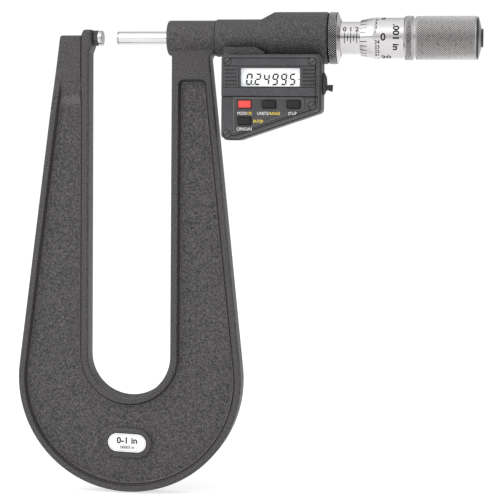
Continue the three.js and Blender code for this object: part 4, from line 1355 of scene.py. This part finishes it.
for name, (x, z) in KEYS.items():
    finish, slot = (RED, "red_key") if name == "shift" else (KEY, "key")
    node = "button_" + name
    broken_edges("key_" + name, node, 0.22, finish, node)
    rim = eased(
        [(x - 1.9, z - 0.85, 0.2), (x + 1.9, z - 0.85, 0.2), (x + 1.9, z + 0.85, 0.2), (x - 1.9, z + 0.85, 0.2)]
    )
    put(f"key_{name}_rim", [band(rim, 0.16, -19.49, -19.4)], finish, node)

# painted shade: black rings in the recess round each screw head and black bars in its slot
painted_screw_shade = []
for (x, z), face in zip(SCREWS, (18.75, 18.75, 18.15, 18.15)):
    ring = [Vector(p) for p in arc(x, z, 1.68, 0, 2 * math.pi * 35 / 36, 35)]
    painted_screw_shade.append(band(ring, 0.2, -face + 0.15, -face + 0.6))
    tilt = math.radians(35)
    c, s = math.cos(tilt), math.sin(tilt)
    bar = [(-1.3, -0.2), (1.3, -0.2), (1.3, 0.2), (-1.3, 0.2)]
    painted_screw_shade.append(prism([(x + u * c - v * s, z + u * s + v * c) for u, v in bar], -face + 0.1, -face + 0.5))
put("screw_wells", painted_screw_shade, BLACK, "body")

# digits and point on the display
SEGMENTS = {
    "0": "abcdef",
    "2": "abged",
    "4": "fgbc",
    "5": "afgcd",
    "9": "abcdfg",
}
DIGIT_W = 2.6
DIGIT_H = 4.85
DIGIT_STROKE = 0.74
DIGIT_SLANT = 0.12
DIGIT_PITCH = 3.58
DIGIT_Z = -20.35


def segment(x, z, name):
    """One bar of a digit whose lower left corner is at x, z."""
    w, h, t = DIGIT_W, DIGIT_H, DIGIT_STROKE
    gap, snip = 0.05, 0.2
    if name in "ad":
        pts = [(gap + snip, h), (w - gap - snip, h), (w - t - gap, h - t), (t + gap, h - t)]
    elif name == "g":
        pts = [
            (t, h / 2 + t / 2),
            (w - t, h / 2 + t / 2),
            (w - t / 2, h / 2),
            (w - t, h / 2 - t / 2),
            (t, h / 2 - t / 2),
            (t / 2, h / 2),
        ]
    else:
        pts = [(0, h - snip - gap), (0, h / 2 + gap), (t, h / 2 + t / 2 + gap), (t, h - t - gap)]
    if name in "cde":
        pts = [(u, h - v) for u, v in pts]
    if name in "bc":
        pts = [(w - u, v) for u, v in pts]
    outline = [(x + u + DIGIT_SLANT * v, z + v) for u, v in pts]
    return prism(outline, *LCD_PRINT)


LCD_PRINT = (GLASS_BACK_Y - 0.04, GLASS_BACK_Y + 0.05)
display = []
for place, mark in enumerate("024995"):
    display += [segment(63.65 + DIGIT_PITCH * place, DIGIT_Z, s) for s in SEGMENTS[mark]]
for x, z, size in ((66.45, DIGIT_Z, 0.6), (85.4, -18.1, 0.45)):
    dot = [(x, z), (x + size, z), (x + size + 0.08, z + size), (x + 0.08, z + size)]
    display.append(prism(dot, *LCD_PRINT))
put("display_digits", display, LCD_INK, "body")

# printing round the keys, and a painted highlight line along the keypad panel's edge
FACE = (PANEL_Y - 0.02, PANEL_Y + 0.05)
white = [
    lettering(text, 1.25, x0, z, *FACE, width=x1 - x0)
    for text, x0, x1, z in (
        ("MODE/", 60.75, 64.7, -32.55),
        ("UNITS/", 69.0, 73.9, -32.55),
        ("STOP", 81.8, 85.2, -32.55),
        ("ORIGIN", 60.5, 66.7, -39.0),
    )
]
yellow = [
    lettering(text, 1.25, x0, z, *FACE, width=x1 - x0)
    for text, x0, x1, z in (
        ("OK", 64.85, 66.9, -32.55),
        ("RANGE", 74.1, 78.4, -32.55),
        ("ENTER", 67.4, 71.5, -35.8),
    )
]
panel_rim = eased(
    [
        (59.1, -39.55, 0.8),
        (60.4, -39.55, 0.4),
        (87.9, -30.1, 0.8),
        (87.9, -25.6, 0.8),
        (59.1, -25.6, 0.8),
    ]
)
# painted highlight: a light grey line along the keypad panel's edge
put("panel_line", [band(panel_rim, 0.14, *FACE)], PANEL_EDGE_HIGHLIGHT, "body")
put("white_labels", white, WHITE_INK, "body")
put("yellow_labels", yellow, YELLOW_INK, "body")

# ---------------------------------------------------------------- finishes of the solids that stay
KEPT = {
    "encoder_stator": BOARD,
    "encoder_rotor": BRONZE,
    "lock_collet": DARK_STEEL,
    "spindle_nut": BRONZE,
    "adjusting_nut": DARK_STEEL,
    "friction_spring": DARK_STEEL,
    "end_screw": DARK_STEEL,
    "lcd_panel": LCD_BACK,
    "circuit_board": BOARD,
    "battery": SATIN,
    "battery_contact": BRONZE,
    "data_port": BLACK,
}
for node, finish in KEPT.items():
    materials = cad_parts[node].data.materials
    materials.clear()
    materials.append(finish)


# ---------------------------------------------------------------- floor, light and camera
def studio():
    floor_z = -0.1946
    mesh = bpy.data.meshes.new("floor")
    corners = [(-6, -6, floor_z), (6, -6, floor_z), (6, 6, floor_z), (-6, 6, floor_z)]
    mesh.from_pydata(corners, [], [[0, 1, 2, 3]])
    floor = bpy.data.objects.new("floor", mesh)
    bpy.context.scene.collection.objects.link(floor)
    pale = plain_finish("pale_floor", (0.5, 0.5, 0.5), 0.9, 20, 0.05, vary=0.01, specular=0.1)
    glow = pale.node_tree.nodes["Principled BSDF"].inputs
    glow["Emission Color"].default_value = (1.0, 1.0, 1.0, 1.0)
    glow["Emission Strength"].default_value = 0.66
    mesh.materials.append(pale)

    world = bpy.data.worlds.new("studio")
    bpy.context.scene.world = world
    world.use_nodes = True
    tree = world.node_tree
    where = tree.nodes.new("ShaderNodeTexCoord")
    split = tree.nodes.new("ShaderNodeSeparateXYZ")
    tree.links.new(where.outputs["Generated"], split.inputs[0])

    def ramp(value, low, high, out_low, out_high):
        node = tree.nodes.new("ShaderNodeMapRange")
        node.interpolation_type = "SMOOTHSTEP"
        span = (("From Min", low), ("From Max", high), ("To Min", out_low), ("To Max", out_high))
        for label, number in span:
            node.inputs[label].default_value = number
        tree.links.new(value, node.inputs["Value"])
        return node.outputs[0]

    upward = sum_of(tree, "SUBTRACT", split.outputs["Z"], sum_of(tree, "MULTIPLY", split.outputs["Y"], 0.35))
    overhead = ramp(upward, 0.3, 0.9, 0.0, 1.0)
    facing = ramp(split.outputs["Y"], -1.0, 0.1, 0.36, 0.2)
    strength = sum_of(tree, "ADD", overhead, facing)
    sight = tree.nodes.new("ShaderNodeLightPath")
    seen = sum_of(tree, "MAXIMUM", strength, sum_of(tree, "MULTIPLY", sight.outputs["Is Camera Ray"], 1.05))
    tree.links.new(seen, tree.nodes["Background"].inputs["Strength"])
    tree.nodes["Background"].inputs["Color"].default_value = (1, 1, 1, 1)

    for name, spot, size, power in (
        ("key_light", (-0.75, -0.75, 0.6), 1.3, 9.5),
        ("back_light", (0.5, 0.9, 0.5), 1.3, 2.5),
    ):
        lamp = bpy.data.lights.new(name, "AREA")
        lamp.shape = "SQUARE"
        lamp.size = size
        lamp.energy = power
        obj = bpy.data.objects.new(name, lamp)
        obj.location = spot
        aim = Vector((0.06, 0, -0.06)) - Vector(spot)
        obj.rotation_euler = aim.to_track_quat("-Z", "Y").to_euler()
        bpy.context.scene.collection.objects.link(obj)


def camera():
    swing, lift, roll = math.radians(7.8), math.radians(3.5), math.radians(0.5)
    back = Vector((math.sin(swing) * math.cos(lift), -math.cos(swing) * math.cos(lift), math.sin(lift)))
    right = Vector((math.cos(swing), math.sin(swing), 0))
    up = back.cross(right)
    side = right * math.cos(roll) + up * math.sin(roll)
    top = up * math.cos(roll) - right * math.sin(roll)
    place = Vector((0.063900, 0.0, -0.089354)) + back * 0.7037
    lens = bpy.data.cameras.new("camera")
    lens.lens = 119.4
    lens.sensor_width = 36.0
    lens.clip_start = 0.05
    lens.clip_end = 50.0
    obj = bpy.data.objects.new("camera", lens)
    turn = Matrix((side, top, back)).transposed().to_4x4()
    obj.matrix_world = Matrix.Translation(place) @ turn
    bpy.context.scene.collection.objects.link(obj)
    bpy.context.scene.camera = obj


studio()
camera()
bpy.context.scene.view_settings.view_transform = "Standard"
